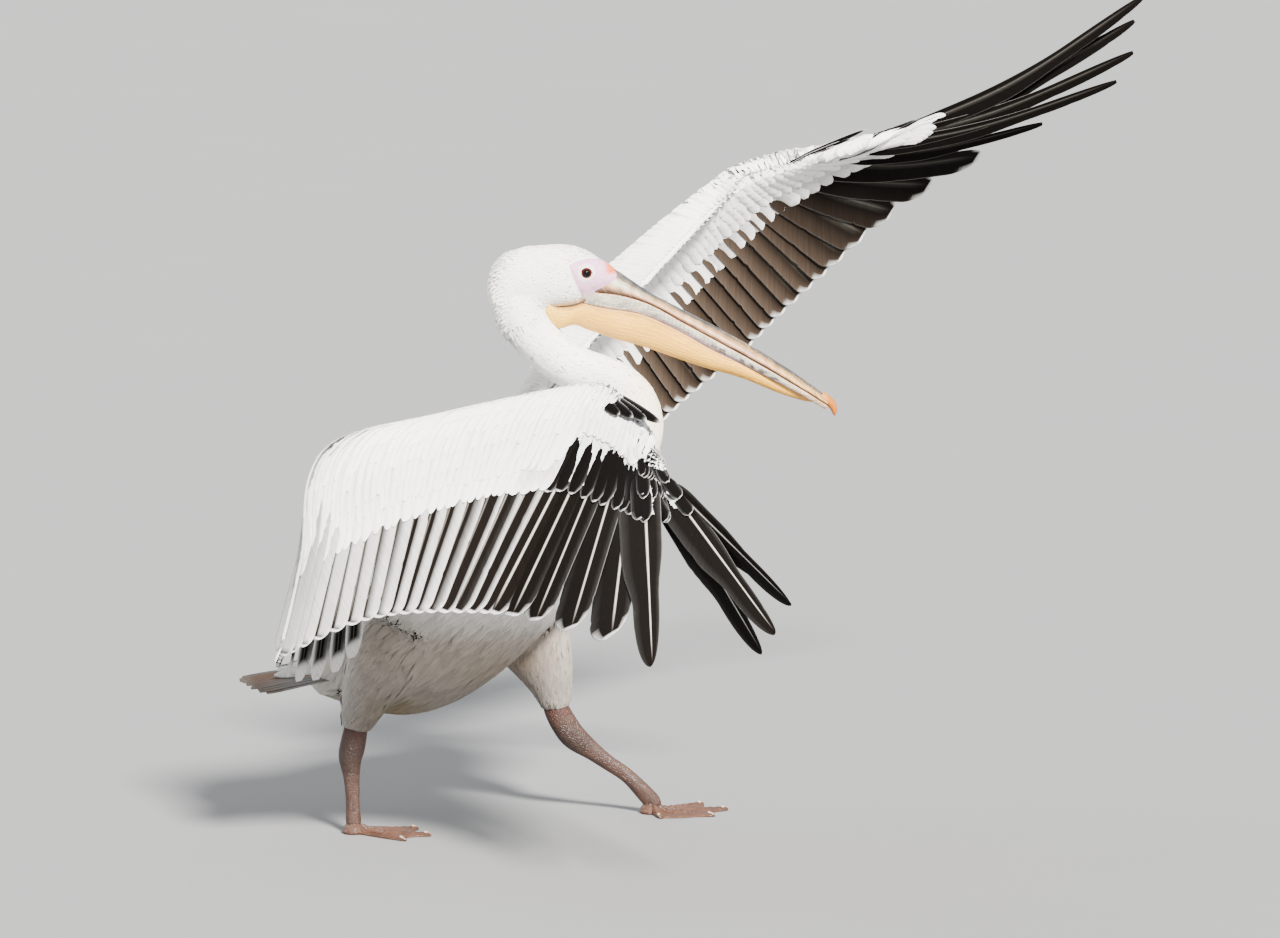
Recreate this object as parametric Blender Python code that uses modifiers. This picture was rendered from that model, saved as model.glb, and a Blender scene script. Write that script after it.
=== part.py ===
"""Great white pelican, life size, wading with its wings half open.

Metres, +Z up. The bird faces +X, its right wing is at -Y and its left wing at +Y.
"""

import math

import bmesh
import bpy
import numpy as np
from mathutils import Matrix, Vector

# Driving dimensions.
GAP = 0.0003                 # clearance between neighbouring parts
FLESH_VOXEL = 0.006          # grid of the merged trunk, neck and head
FLESH_TRIANGLES = 1150
WING_VOXEL = 0.0035
WING_TRIANGLES = {"arm": 240, "forearm": 260, "hand": 200}

EYE_RADIUS = 0.0085
EYE_AT = Vector((0.1725, 0.0, 0.8270))
EYE_SPREAD = 0.0245          # from the middle plane to an eye's centre

TAIL_BASE = Vector((-0.165, 0.0, 0.243))
TAIL_LENGTH = 0.180
TAIL_DROOP = math.radians(8.0)
TAIL_HALF_FAN = math.radians(21.0)
TAIL_FEATHERS = 20

TRUNK_REAR = Vector((-0.209, 0.0, 0.234))
TRUNK_FRONT = Vector((0.287, 0.0, 0.598))
# distance along the trunk, centre below the axis, half depth, half width
TRUNK_STATIONS = (
    (-0.035, -0.004, 0.026, 0.036),
    (0.010, 0.020, 0.066, 0.066),
    (0.060, 0.030, 0.100, 0.092),
    (0.130, 0.031, 0.122, 0.112),
    (0.210, 0.024, 0.131, 0.124),
    (0.300, 0.016, 0.127, 0.126),
    (0.390, 0.008, 0.116, 0.120),
    (0.470, -0.004, 0.101, 0.108),
    (0.540, -0.018, 0.078, 0.088),
    (0.590, -0.030, 0.050, 0.058),
    (0.612, -0.036, 0.024, 0.028),
)

# x, z, half depth, half width along the neck, from the body to the skull
NECK_STATIONS = (
    (0.155, 0.455, 0.070, 0.070),
    (0.190, 0.492, 0.062, 0.062),
    (0.220, 0.530, 0.053, 0.052),
    (0.238, 0.566, 0.046, 0.045),
    (0.246, 0.595, 0.042, 0.041),
    (0.245, 0.620, 0.039, 0.038),
    (0.234, 0.643, 0.036, 0.036),
    (0.211, 0.662, 0.035, 0.034),
    (0.175, 0.675, 0.034, 0.034),
    (0.141, 0.690, 0.034, 0.033),
    (0.117, 0.709, 0.034, 0.034),
    (0.097, 0.730, 0.036, 0.035),
    (0.080, 0.755, 0.038, 0.036),
    (0.074, 0.785, 0.037, 0.035),
)
# x, middle z, half height, half width of the skull with its feathers
SKULL_STATIONS = (
    (0.031, 0.797, 0.014, 0.014),
    (0.038, 0.802, 0.034, 0.023),
    (0.052, 0.810, 0.045, 0.031),
    (0.074, 0.815, 0.048, 0.034),
    (0.104, 0.819, 0.047, 0.035),
    (0.134, 0.821, 0.047, 0.034),
    (0.156, 0.821, 0.044, 0.031),
    (0.175, 0.820, 0.038, 0.028),
    (0.193, 0.818, 0.030, 0.025),
    (0.210, 0.816, 0.019, 0.021),
    (0.222, 0.812, 0.008, 0.014),
)

BILL_ORIGIN = Vector((0.1884, 0.0, 0.8242))
BILL_PITCH = math.radians(29.5)
# distance along the bill, culmen, tomium, bottom of the lower jaw, half width
BILL_STATIONS = (
    (0.012, 0.018, -0.024, -0.046, 0.021),
    (0.031, 0.017, -0.015, -0.040, 0.022),
    (0.084, 0.013, -0.001, -0.021, 0.020),
    (0.145, 0.015, 0.000, -0.015, 0.018),
    (0.200, 0.017, 0.001, -0.015, 0.019),
    (0.260, 0.017, 0.002, -0.011, 0.021),
    (0.325, 0.014, 0.001, -0.009, 0.021),
    (0.370, 0.009, -0.001, -0.009, 0.016),
    (0.392, 0.006, -0.003, -0.010, 0.009),
)
NAIL_STATIONS = ((0.386, 0.0085, -0.0015, 0.0085), (0.398, 0.006, -0.005, 0.0075),
                 (0.407, 0.000, -0.009, 0.0055), (0.4105, -0.006, -0.0115, 0.0030))
# distance along the bill, depth of the pouch's bottom edge, half width
POUCH_STATIONS = ((-0.052, -0.090, 0.012), (-0.036, -0.098, 0.020), (-0.004, -0.099, 0.024),
                  (0.030, -0.080, 0.025), (0.068, -0.073, 0.023), (0.107, -0.063, 0.021),
                  (0.145, -0.056, 0.019), (0.204, -0.045, 0.018), (0.262, -0.031, 0.017),
                  (0.323, -0.025, 0.014), (0.361, -0.018, 0.010))

# Joints of each wing, and the tips of its feathers at places u along the bones:
# 0 shoulder, 1 elbow, 2 wrist, 3 end of the hand. Sag is how far the last feather's middle
# hangs below a straight line, so that its tip sweeps up.
WINGS = {
    "right": {
        "bones": ((0.090, -0.100, 0.575), (-0.201, -0.292, 0.578), (0.185, -0.310, 0.662),
                  (0.287, -0.470, 0.585)),
        "patagium_rise": 0.012, "sag": 0.0,
        "tips": ((0.0, -0.175, -0.120, 0.395), (0.5, -0.270, -0.225, 0.323),
                 (0.8, -0.274, -0.300, 0.283), (1.0, -0.268, -0.345, 0.305),
                 (1.25, -0.167, -0.375, 0.358), (1.5, -0.094, -0.390, 0.376),
                 (1.75, -0.029, -0.398, 0.380), (2.0, 0.033, -0.412, 0.380),
                 (2.2, 0.087, -0.465, 0.381), (2.4, 0.145, -0.555, 0.382),
                 (2.55, 0.222, -0.670, 0.385), (2.65, 0.268, -0.770, 0.368),
                 (2.70, 0.285, -0.800, 0.366), (2.75, 0.422, -0.840, 0.392),
                 (2.85, 0.440, -0.885, 0.427), (2.95, 0.461, -0.880, 0.468)),
        "first_finger": 8,
        "alula_from": 2.03, "alula_tip": (0.279, -0.420, 0.6505),
    },
    "left": {
        "bones": ((0.059, 0.100, 0.576), (0.156, 0.340, 0.711), (0.411, 0.400, 0.915),
                  (0.617, 0.460, 0.975)),
        "patagium_rise": 0.004, "sag": 0.026,
        "tips": ((0.0, -0.170, 0.130, 0.400), (0.5, 0.030, 0.330, 0.445),
                 (0.8, 0.190, 0.425, 0.487), (1.0, 0.262, 0.462, 0.522),
                 (1.25, 0.330, 0.500, 0.578), (1.5, 0.410, 0.540, 0.640),
                 (1.75, 0.474, 0.572, 0.699), (2.0, 0.552, 0.604, 0.768),
                 (2.2, 0.618, 0.627, 0.826), (2.35, 0.700, 0.648, 0.884),
                 (2.45, 0.776, 0.658, 0.928), (2.55, 0.872, 0.655, 0.978),
                 (2.65, 0.985, 0.640, 1.045), (2.75, 1.010, 0.640, 1.090),
                 (2.85, 1.012, 0.648, 1.138), (2.95, 1.026, 0.630, 1.178)),
        "first_finger": 6,
        "alula_from": 2.30, "alula_tip": (0.589, 0.450, 0.991),
    },
}
# place u along the bones, share of the feathers that the coverts hide
COVERT_SHARE = ((0.0, 0.62), (1.0, 0.56), (1.4, 0.43), (2.0, 0.36), (2.6, 0.32), (3.0, 0.27))
SECONDARIES = 16
PRIMARIES = 10
LEADING_EDGE = 0.016         # from the hand bones to the front edge
VANE_ROOT_THICKNESS = 0.0050
VANE_TIP_THICKNESS = 0.0010
FINGER_WIDTH = 0.036
ALULA_WIDTH = 0.016

# Each leg: points down the middle, and the half widths fore-aft and sideways at them.
LEGS = {
    "right": {
        "thigh": ((-0.100, -0.078, 0.300, 0.066, 0.052), (-0.126, -0.084, 0.258, 0.056, 0.046),
                  (-0.148, -0.087, 0.215, 0.041, 0.036), (-0.162, -0.087, 0.178, 0.029, 0.027),
                  (-0.168, -0.086, 0.155, 0.021, 0.020)),
        "tarsus": ((-0.168, -0.086, 0.1547, 0.0175, 0.0150), (-0.173, -0.085, 0.130, 0.0185, 0.0155),
                   (-0.176, -0.085, 0.113, 0.0170, 0.0140), (-0.175, -0.085, 0.085, 0.0120, 0.0090),
                   (-0.173, -0.085, 0.050, 0.0105, 0.0080), (-0.172, -0.085, 0.0215, 0.0120, 0.0095)),
        "foot": (-0.172, -0.085), "heading": math.radians(-9.0),
    },
    "left": {
        "thigh": ((0.070, 0.078, 0.310, 0.068, 0.052), (0.092, 0.082, 0.262, 0.058, 0.046),
                  (0.112, 0.085, 0.218, 0.042, 0.036), (0.122, 0.086, 0.185, 0.030, 0.027),
                  (0.127, 0.085, 0.158, 0.021, 0.020)),
        "tarsus": ((0.127, 0.085, 0.1577, 0.0185, 0.0150), (0.140, 0.085, 0.133, 0.0195, 0.0155),
                   (0.156, 0.085, 0.113, 0.0185, 0.0145), (0.188, 0.085, 0.088, 0.0130, 0.0095),
                   (0.232, 0.085, 0.057, 0.0115, 0.0085), (0.266, 0.085, 0.0225, 0.0125, 0.0095)),
        "foot": (0.268, 0.085), "heading": math.radians(9.0),
    },
}
# angle of each toe from the foot's heading (outer first), and its length
TOES = ((-32.0, 0.104), (-3.0, 0.118), (27.0, 0.100), (84.0, 0.052))
WEB_THICKNESS = 0.0032
TOE_HEIGHT = 0.0085
HEEL_HEIGHT = 0.0205
HEEL_RADIUS = 0.016

WHITE, BLACK = (0.86, 0.84, 0.80), (0.035, 0.030, 0.028)
COLOURS = {
    "plumage_white": (WHITE, 0.75), "flight_black": (BLACK, 0.55),
    "bill_horn": ((0.62, 0.52, 0.36), 0.45), "pouch_skin": ((0.86, 0.66, 0.34), 0.5),
    "nail_orange": ((0.78, 0.19, 0.06), 0.35), "eye_dark": ((0.10, 0.02, 0.012), 0.08),
    "leg_skin": ((0.62, 0.29, 0.17), 0.5),
}


# ---------------------------------------------------------------- helpers
def clear_scene():
    for thing in list(bpy.data.objects):
        bpy.data.objects.remove(thing, do_unlink=True)


def new_collection(name):
    made = bpy.data.collections.new(name)
    bpy.context.scene.collection.children.link(made)
    return made


def material(name):
    found = bpy.data.materials.get(name)
    if found:
        return found
    made = bpy.data.materials.new(name)
    made.use_nodes = True
    shader = made.node_tree.nodes["Principled BSDF"]
    colour, roughness = COLOURS[name]
    shader.inputs["Base Color"].default_value = (*colour, 1.0)
    shader.inputs["Roughness"].default_value = roughness
    shader.inputs["Metallic"].default_value = 0.0
    return made


def smooth(keys, at):
    """Values at one place on a smooth curve through keys, rows of (place, value, ...)."""
    rows = np.asarray(keys, float)
    places, values = rows[:, 0], rows[:, 1:]
    at = min(max(at, places[0]), places[-1])
    i = min(int(np.searchsorted(places, at, side="right")) - 1, len(places) - 2)
    slopes = np.gradient(values, places, axis=0)
    step = places[i + 1] - places[i]
    t = (at - places[i]) / step
    return ((2 * t**3 - 3 * t**2 + 1) * values[i] + (t**3 - 2 * t**2 + t) * step * slopes[i]
            + (3 * t**2 - 2 * t**3) * values[i + 1] + (t**3 - t**2) * step * slopes[i + 1])


def resampled(stations, count):
    """The stations' own rows at even steps, with their index as the place."""
    keys = [(i, *row) for i, row in enumerate(stations)]
    return [smooth(keys, (len(keys) - 1) * i / (count - 1)) for i in range(count)]


def mesh_object(name, mesh, slot, home):
    made = bpy.data.objects.new(name, mesh)
    made.data.materials.clear()
    made.data.materials.append(material(slot))
    home.objects.link(made)
    return made


def adopt(thing, home):
    """Moves an object that an operator made into the collection home."""
    for old in list(thing.users_collection):
        old.objects.unlink(thing)
    home.objects.link(thing)


def loft(name, rings, slot, home):
    """A closed solid through rings of points, with a flat cap at each end."""
    bm = bmesh.new()
    rows = [[bm.verts.new(point) for point in ring] for ring in rings]
    count = len(rows[0])
    for near, far in zip(rows, rows[1:]):
        for i in range(count):
            j = (i + 1) % count
            bm.faces.new((near[i], near[j], far[j], far[i]))
    bm.faces.new(rows[0])
    bm.faces.new(rows[-1])
    bmesh.ops.recalc_face_normals(bm, faces=bm.faces)
    mesh = bpy.data.meshes.new(name)
    bm.to_mesh(mesh)
    bm.free()
    mesh.shade_smooth()
    mesh.set_sharp_from_angle(angle=math.radians(50.0))
    return mesh_object(name, mesh, slot, home)


def tube_rings(centres, half_deep, half_wide, sides, side_axis=Vector((0.0, 1.0, 0.0))):
    """Elliptical rings square to the line of centres, with their width along side_axis."""
    rings = []
    for i, centre in enumerate(centres):
        ahead = centres[min(i + 1, len(centres) - 1)] - centres[max(i - 1, 0)]
        across = side_axis - ahead.normalized() * side_axis.dot(ahead.normalized())
        across.normalize()
        down = ahead.normalized().cross(across)
        rings.append([centre + down * (half_deep[i] * math.cos(2 * math.pi * k / sides))
                      + across * (half_wide[i] * math.sin(2 * math.pi * k / sides))
                      for k in range(sides)])
    return rings


def boolean(target, cutter, operation, solver="EXACT"):
    """Applies one Boolean to target's mesh."""
    step = target.modifiers.new("cut", "BOOLEAN")
    step.operation = operation
    step.object = cutter
    step.solver = solver
    depsgraph = bpy.context.evaluated_depsgraph_get()
    result = bpy.data.meshes.new_from_object(target.evaluated_get(depsgraph))
    target.modifiers.remove(step)
    target.data = result


def inflated_copy(source, by, home):
    """A copy of source grown outwards, which cuts a neighbour with a gap."""
    copy = bpy.data.objects.new(source.name + "_grown", source.data.copy())
    home.objects.link(copy)
    normals = [vertex.normal.copy() for vertex in copy.data.vertices]
    for vertex, normal in zip(copy.data.vertices, normals):
        vertex.co += normal * by
    copy.hide_render = True
    copy.display_type = "WIRE"
    return copy


def islands(mesh):
    """The mesh's separate bodies, each as a new mesh, biggest first."""
    bm = bmesh.new()
    bm.from_mesh(mesh)
    bm.verts.ensure_lookup_table()
    group_of = [-1] * len(bm.verts)
    groups = 0
    for start in bm.verts:
        if group_of[start.index] >= 0:
            continue
        stack = [start]
        group_of[start.index] = groups
        while stack:
            for edge in stack.pop().link_edges:
                for vertex in edge.verts:
                    if group_of[vertex.index] < 0:
                        group_of[vertex.index] = groups
                        stack.append(vertex)
        groups += 1
    meshes = []
    for group in range(groups):
        part = bm.copy()
        others = [vertex for vertex in part.verts if group_of[vertex.index] != group]
        bmesh.ops.delete(part, geom=others, context="VERTS")
        made = bpy.data.meshes.new("island")
        part.to_mesh(made)
        part.free()
        meshes.append(made)
    bm.free()
    return sorted(meshes, key=lambda made: len(made.vertices), reverse=True)


def trim(target, neighbours, guides):
    """Cuts target back from its neighbours, and keeps its biggest piece.

    The EXACT solver empties the pouch here, so these cuts use MANIFOLD.
    """
    for neighbour in neighbours:
        boolean(target, inflated_copy(neighbour, 2 * GAP, guides), "DIFFERENCE", "MANIFOLD")
    slot = target.active_material.name if target.active_material else None
    target.data = islands(target.data)[0]
    if slot:
        target.data.materials.append(bpy.data.materials[slot])
    target.data.shade_smooth()
    target.data.set_sharp_from_angle(angle=math.radians(50.0))


# ---------------------------------------------------------------- trunk, neck and head
def trunk_rings():
    along = (TRUNK_FRONT - TRUNK_REAR).normalized()
    below = Vector((along.z, 0.0, -along.x))
    rows = resampled(TRUNK_STATIONS, 22)
    rings = []
    for s, drop, deep, wide in rows:
        centre = TRUNK_REAR + along * s + below * drop
        rings.append([centre + below * (deep * math.cos(a)) + Vector((0.0, wide * math.sin(a), 0.0))
                      for a in (2 * math.pi * k / 24 for k in range(24))])
    return rings


def neck_rings():
    rows = resampled(NECK_STATIONS, 30)
    centres = [Vector((x, 0.0, z)) for x, z, _, _ in rows]
    return tube_rings(centres, [row[2] for row in rows], [row[3] for row in rows], 20)


def skull_rings():
    rows = resampled(SKULL_STATIONS, 20)
    return [[Vector((x, wide * math.sin(a), z + high * math.cos(a)))
             for a in (2 * math.pi * k / 24 for k in range(24))] for x, z, high, wide in rows]


def merged(thing, voxel, triangles):
    """Merges a form's overlapping pieces into one even surface of about that many triangles."""
    remesh = thing.modifiers.new("merge", "REMESH")
    remesh.mode = "VOXEL"
    remesh.voxel_size = voxel
    even = thing.modifiers.new("even", "SMOOTH")
    even.iterations = 3
    bake(thing)
    thin = thing.modifiers.new("thin", "DECIMATE")
    thin.ratio = triangles / sum(len(face.vertices) - 2 for face in thing.data.polygons)
    bake(thing)


def bake(thing):
    """Applies the object's modifiers."""
    depsgraph = bpy.context.evaluated_depsgraph_get()
    thing.data = bpy.data.meshes.new_from_object(thing.evaluated_get(depsgraph))
    thing.modifiers.clear()


def parted(whole, middles, slot, home):
    """Makes each separate body of a cut form a node named for the nearest of the middles."""
    for mesh in islands(whole.data)[:len(middles)]:
        centre = sum((vertex.co for vertex in mesh.vertices), Vector()) / len(mesh.vertices)
        name = min(middles, key=lambda key: (middles[key] - centre).length)
        mesh.name = name
        mesh.shade_smooth()
        mesh_object(name, mesh, slot, home)
    whole.hide_render = True


def flesh(home, guides):
    """Trunk, neck and head as one merged form, parted by thin cuts."""
    whole = loft("flesh", trunk_rings(), "plumage_white", guides)
    for name, rings in (("neck_form", neck_rings()), ("skull_form", skull_rings())):
        other = loft(name, rings, "plumage_white", guides)
        boolean(whole, other, "UNION")
        other.hide_render = True
    merged(whole, FLESH_VOXEL, FLESH_TRIANGLES)

    cuts = ((Vector((0.240, 0.0, 0.572)), Vector((0.30, 0.0, 1.0)), 0.130),
            (Vector((0.158, 0.0, 0.682)), Vector((-0.92, 0.0, 0.40)), 0.060),
            (Vector((0.085, 0.0, 0.752)), Vector((-0.45, 0.0, 1.0)), 0.062))
    for place, normal, radius in cuts:
        bpy.ops.mesh.primitive_cylinder_add(vertices=16, radius=radius, depth=GAP, location=place)
        disc = bpy.context.object
        disc.rotation_mode = "QUATERNION"
        disc.rotation_quaternion = normal.to_track_quat("Z", "Y")
        adopt(disc, guides)
        disc.hide_render = True
        disc.display_type = "WIRE"
        bpy.context.view_layer.update()
        boolean(whole, disc, "DIFFERENCE", "MANIFOLD")

    middles = {"trunk": Vector((0.04, 0.0, 0.40)), "neck_lower": Vector((0.22, 0.0, 0.63)),
               "neck_upper": Vector((0.12, 0.0, 0.715)), "head": Vector((0.13, 0.0, 0.81))}
    parted(whole, middles, "plumage_white", home)


def eyes(home):
    for name, side in (("eye_right", -1), ("eye_left", 1)):
        bpy.ops.mesh.primitive_uv_sphere_add(
            segments=10, ring_count=6, radius=EYE_RADIUS,
            location=EYE_AT + Vector((0.0, side * EYE_SPREAD, 0.0)),
            rotation=(math.pi / 2, 0.0, 0.0))
        ball = bpy.context.object
        ball.name = name
        ball.data.materials.append(material("eye_dark"))
        ball.data.shade_smooth()
        adopt(ball, home)
        bpy.context.view_layer.update()
        ball.data.transform(ball.matrix_world)
        ball.matrix_world = Matrix.Identity(4)


# ---------------------------------------------------------------- bill
def bill_point(s, across, height):
    along = Vector((math.cos(BILL_PITCH), 0.0, -math.sin(BILL_PITCH)))
    up = Vector((math.sin(BILL_PITCH), 0.0, math.cos(BILL_PITCH)))
    return BILL_ORIGIN + along * s + up * height + Vector((0.0, across, 0.0))


def bill(home):
    def vaulted(s, top, bottom, wide):
        """Rounded above, flat below."""
        shape = [(math.cos(a), math.sin(a)) for a in np.linspace(0.0, math.pi, 7)]
        return ([bill_point(s, wide * c, bottom + (top - bottom) * (0.35 + 0.65 * h)) for c, h in shape]
                + [bill_point(s, -wide * 0.92, bottom), bill_point(s, wide * 0.92, bottom)])

    def slung(s, top, bottom, wide):
        """Flat above, rounded below."""
        shape = [(math.cos(a), math.sin(a)) for a in np.linspace(0.0, math.pi, 7)]
        return ([bill_point(s, wide * c, top - (top - bottom) * h) for c, h in shape])

    def box(s, top, bottom, wide):
        slope = 0.90
        return [bill_point(s, wide, top), bill_point(s, wide, (top + bottom) / 2),
                bill_point(s, wide * slope, bottom), bill_point(s, -wide * slope, bottom),
                bill_point(s, -wide, (top + bottom) / 2), bill_point(s, -wide, top)]

    rows = resampled(BILL_STATIONS, 12)
    half = GAP / 2
    loft("bill_upper", [vaulted(s, top, mid + half, wide) for s, top, mid, _, wide in rows],
         "bill_horn", home)
    loft("bill_lower", [box(s, mid - half, low + half, wide * 0.96) for s, _, mid, low, wide in rows],
         "bill_horn", home)
    bottoms = [(s, low) for s, _, _, low, _ in BILL_STATIONS]
    pouch_rows = resampled(POUCH_STATIONS, 12)
    loft("pouch", [slung(s, min(float(smooth(bottoms, s)[0]), -0.010) - half, depth, wide)
                   for s, depth, wide in pouch_rows], "pouch_skin", home)
    loft("bill_nail", [box(s, top, bottom, wide) for s, top, bottom, wide in resampled(NAIL_STATIONS, 7)],
         "nail_orange", home)


# ---------------------------------------------------------------- wings
class WingSurface:
    """The middle surface of a wing: u along the bones, v 0 front edge, 1 bones, 2 feather tips."""

    def __init__(self, data):
        self.bones = [Vector(bone) for bone in data["bones"]]
        self.tips = data["tips"]
        self.rise = data["patagium_rise"]
        self.sag = data["sag"]
        reach = self.bones[3] - self.bones[2]
        self.front = (reach.cross(Vector(data["tips"][9][1:]) - self.bones[2])).cross(reach)
        self.front = -self.front.normalized() * LEADING_EDGE

    def bone(self, u):
        keys = [(i, *bone) for i, bone in enumerate(self.bones)]
        i = min(int(u), 2)
        straight = self.bones[i].lerp(self.bones[i + 1], u - i)
        return straight.lerp(Vector(smooth(keys, u)), 0.35)

    def tip(self, u):
        return Vector(smooth(self.tips, u))

    def edge(self, u):
        wrist = self.bones[2] + self.front
        if u >= 2.0:
            return self.bone(u) + self.front * (1.0 - 0.4 * (u - 2.0))
        rise = math.sin(math.pi * u / 2.0) * self.rise
        return self.bones[0].lerp(wrist, u / 2.0) + Vector((0.0, 0.0, rise))

    def at(self, u, v):
        edge, bone, tip = self.edge(u), self.bone(u), self.tip(u)
        hang = self.sag * max(u - 2.0, 0.0)
        middle = bone.lerp(tip, 0.5) - Vector((0.0, 0.0, hang))
        keys = ((0.0, *edge), (1.0, *bone), (1.5, *middle), (2.0, *tip))
        return Vector(smooth(keys, v))

    def normal(self, u, v):
        """Evened over a stretch of the span, so that neighbours agree where the joints fold."""
        small, wide = 1e-3, 0.18
        low, high = max(u - wide, 0.0), min(u + wide, 2.96)
        span = self.at(high, v) - self.at(low, v)
        chord = self.at(u, min(v + small, 2.0)) - self.at(u, max(v - small, 0.0))
        return span.cross(chord).normalized()


def flesh_thickness(u, v):
    """Full thickness over the arm: plump at the bones, thin at both edges."""
    bones = 0.040 - 0.009 * max(u - 1.0, 0.0)
    keys = ((0.0, 0.012), (0.5, 0.024), (1.0, bones), (1.3, 0.022), (1.6, 0.010), (2.0, 0.006))
    return float(smooth(keys, v)[0])


def vane_thickness(v):
    share = min(max(v - 1.2, 0.0) / 0.8, 1.0)
    return VANE_ROOT_THICKNESS + (VANE_TIP_THICKNESS - VANE_ROOT_THICKNESS) * share


def covert_edge(u):
    return 1.0 + float(smooth(COVERT_SHARE, u)[0])


def slab(name, surface, rows, thickness, slot, home):
    """A solid round a grid of (u, v) places on the wing's middle surface."""
    rings = []
    for row in rows:
        top, bottom = [], []
        for u, v in row:
            middle, normal = surface.at(u, v), surface.normal(u, v)
            half = thickness(u, v) / 2
            top.append(middle + normal * half)
            bottom.append(middle - normal * half)
        rings.append(top + bottom[::-1])
    return loft(name, rings, slot, home)


def scallop(u, low, high, count, depth):
    """How far short of the full length the outline falls between feathers."""
    place = (u - low) / (high - low) * count
    return depth * (1.0 - math.sqrt(max(1.0 - (2.0 * (place % 1.0) - 1.0) ** 2, 0.0)))


def wing(side, home):
    data = WINGS[side]
    surface = WingSurface(data)
    pad = 0.0012                                    # share of a bone's length that parts neighbours

    def grid(low, high, first, last, steps, chord):
        return [[(u, first(u) + (last(u) - first(u)) * k / chord) for k in range(chord + 1)]
                for u in np.linspace(low, high, steps)]

    def covered(u):
        return 2.0 if u < 1.0 else covert_edge(u)

    for part, low, high in (("arm", 0.04, 1.0), ("forearm", 1.0, 2.0), ("hand", 2.0, 2.95)):
        piece = slab(f"wing_{side}_{part}", surface, grid(low, high - 0.001, lambda u: 0.0, covered, 16, 12),
                     flesh_thickness, "plumage_white", home)
        merged(piece, WING_VOXEL, WING_TRIANGLES[part])
    slab(f"wing_{side}_secondaries", surface,
         grid(1.0 + pad, 2.0 - pad, lambda u: covert_edge(u) + 0.001,
              lambda u: 2.0 - scallop(u, 1.0, 2.0, SECONDARIES, 0.035), 2 * SECONDARIES + 1, 1),
         lambda u, v: vane_thickness(v), "flight_black", home)
    inner = data["first_finger"] - 1
    last_inner = 2.0 + inner / PRIMARIES
    slab(f"wing_{side}_primaries", surface,
         grid(2.0 + pad, last_inner - 2 * pad, lambda u: covert_edge(u) + 0.001,
              lambda u: 2.0 - scallop(u, 2.0, last_inner, inner, 0.05), 2 * inner + 1, 3),
         lambda u, v: vane_thickness(v), "flight_black", home)

    for number in range(inner + 1, PRIMARIES + 1):
        finger(f"wing_{side}_primary_{number:02d}", surface, 2.0 + (number - 0.5) / PRIMARIES, home)
    alula(side, surface, data["alula_from"], Vector(data["alula_tip"]), home)


def finger(name, surface, u, home):
    """One free outer primary: full width at its root, narrowed past the middle, with a round tip."""
    rings = []
    for v in np.linspace(covert_edge(u) + 0.001, 2.0, 9):
        share = v - 1.0
        ahead = surface.at(u, min(v + 0.01, 2.0)) - surface.at(u, v - 0.01)
        normal = surface.normal(u, min(v, 1.6))
        across = normal.cross(ahead).normalized()
        width = FINGER_WIDTH / 2 * math.sqrt(max(1.0 - share**7, 0.0)) * (1.0 - 0.45 * max(share - 0.5, 0.0))
        width = max(min(width, 0.008 + 0.030 * (v - 1.0)), 0.0012)
        half_thick = vane_thickness(v) / 2
        centre = surface.at(u, v)
        rings.append([centre - across * width, centre + normal * half_thick,
                      centre + across * width, centre - normal * half_thick])
    loft(name, rings, "flight_black", home)


def alula(side, surface, start_u, tip, home):
    """The black bastard wing, standing a little off the front edge of the hand."""
    start = surface.edge(start_u)
    root = start + surface.front.normalized() * 0.0070
    heading = (tip - root).normalized()
    length = (tip - root).length
    front = surface.front - heading * surface.front.dot(heading)
    front.normalize()
    rings = []
    for t in np.linspace(0.0, 1.0, 7):
        width = ALULA_WIDTH / 2 * math.sqrt(max(1.0 - t**3, 0.0)) + 0.0006
        centre = root + heading * (length * t) + front * (width * (1.0 - t))
        normal = heading.cross(front).normalized()
        thick = 0.0022 - 0.0012 * t
        rings.append([centre - front * width, centre + normal * thick,
                      centre + front * width, centre - normal * thick])
    loft(f"wing_{side}_alula", rings, "flight_black", home)


# ---------------------------------------------------------------- tail
def tail(home):
    along = Vector((-math.cos(TAIL_DROOP), 0.0, -math.sin(TAIL_DROOP)))
    up = Vector((-math.sin(TAIL_DROOP), 0.0, math.cos(TAIL_DROOP)))
    across = Vector((0.0, 1.0, 0.0))
    rings = []
    steps = 2 * TAIL_FEATHERS + 1
    for i in range(steps):
        part = i / (steps - 1)
        angle = (2.0 * part - 1.0) * TAIL_HALF_FAN
        heading = along * math.cos(angle) + across * math.sin(angle)
        root = TAIL_BASE + across * (0.030 * (2.0 * part - 1.0))
        lobe = scallop(part, 0.0, 1.0, TAIL_FEATHERS, 0.05)
        reach = TAIL_LENGTH * (1.0 - 0.18 * (2.0 * part - 1.0) ** 2) * (1.0 - lobe)
        droop = up * (-0.012 * (2.0 * part - 1.0) ** 2)
        top, bottom = [], []
        for share in (0.0, 1.0):
            thick = 0.010 * (1.0 - share) + 0.0012 * share
            middle = root + heading * (reach * share) + droop
            top.append(middle + up * thick / 2)
            bottom.append(middle - up * thick / 2)
        rings.append(top + bottom[::-1])
    loft("tail", rings, "plumage_white", home)


# ---------------------------------------------------------------- legs and feet
def leg(side, home):
    data = LEGS[side]
    for part, slot, sides in (("thigh", "plumage_white", 16), ("tarsus", "leg_skin", 12)):
        rows = resampled(data[part], 9)
        centres = [Vector(row[:3]) for row in rows]
        rings = tube_rings(centres, [row[3] for row in rows], [row[4] for row in rows], sides)
        loft(f"{part}_{side}", rings, slot, home)
    foot(side, data, home)


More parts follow.
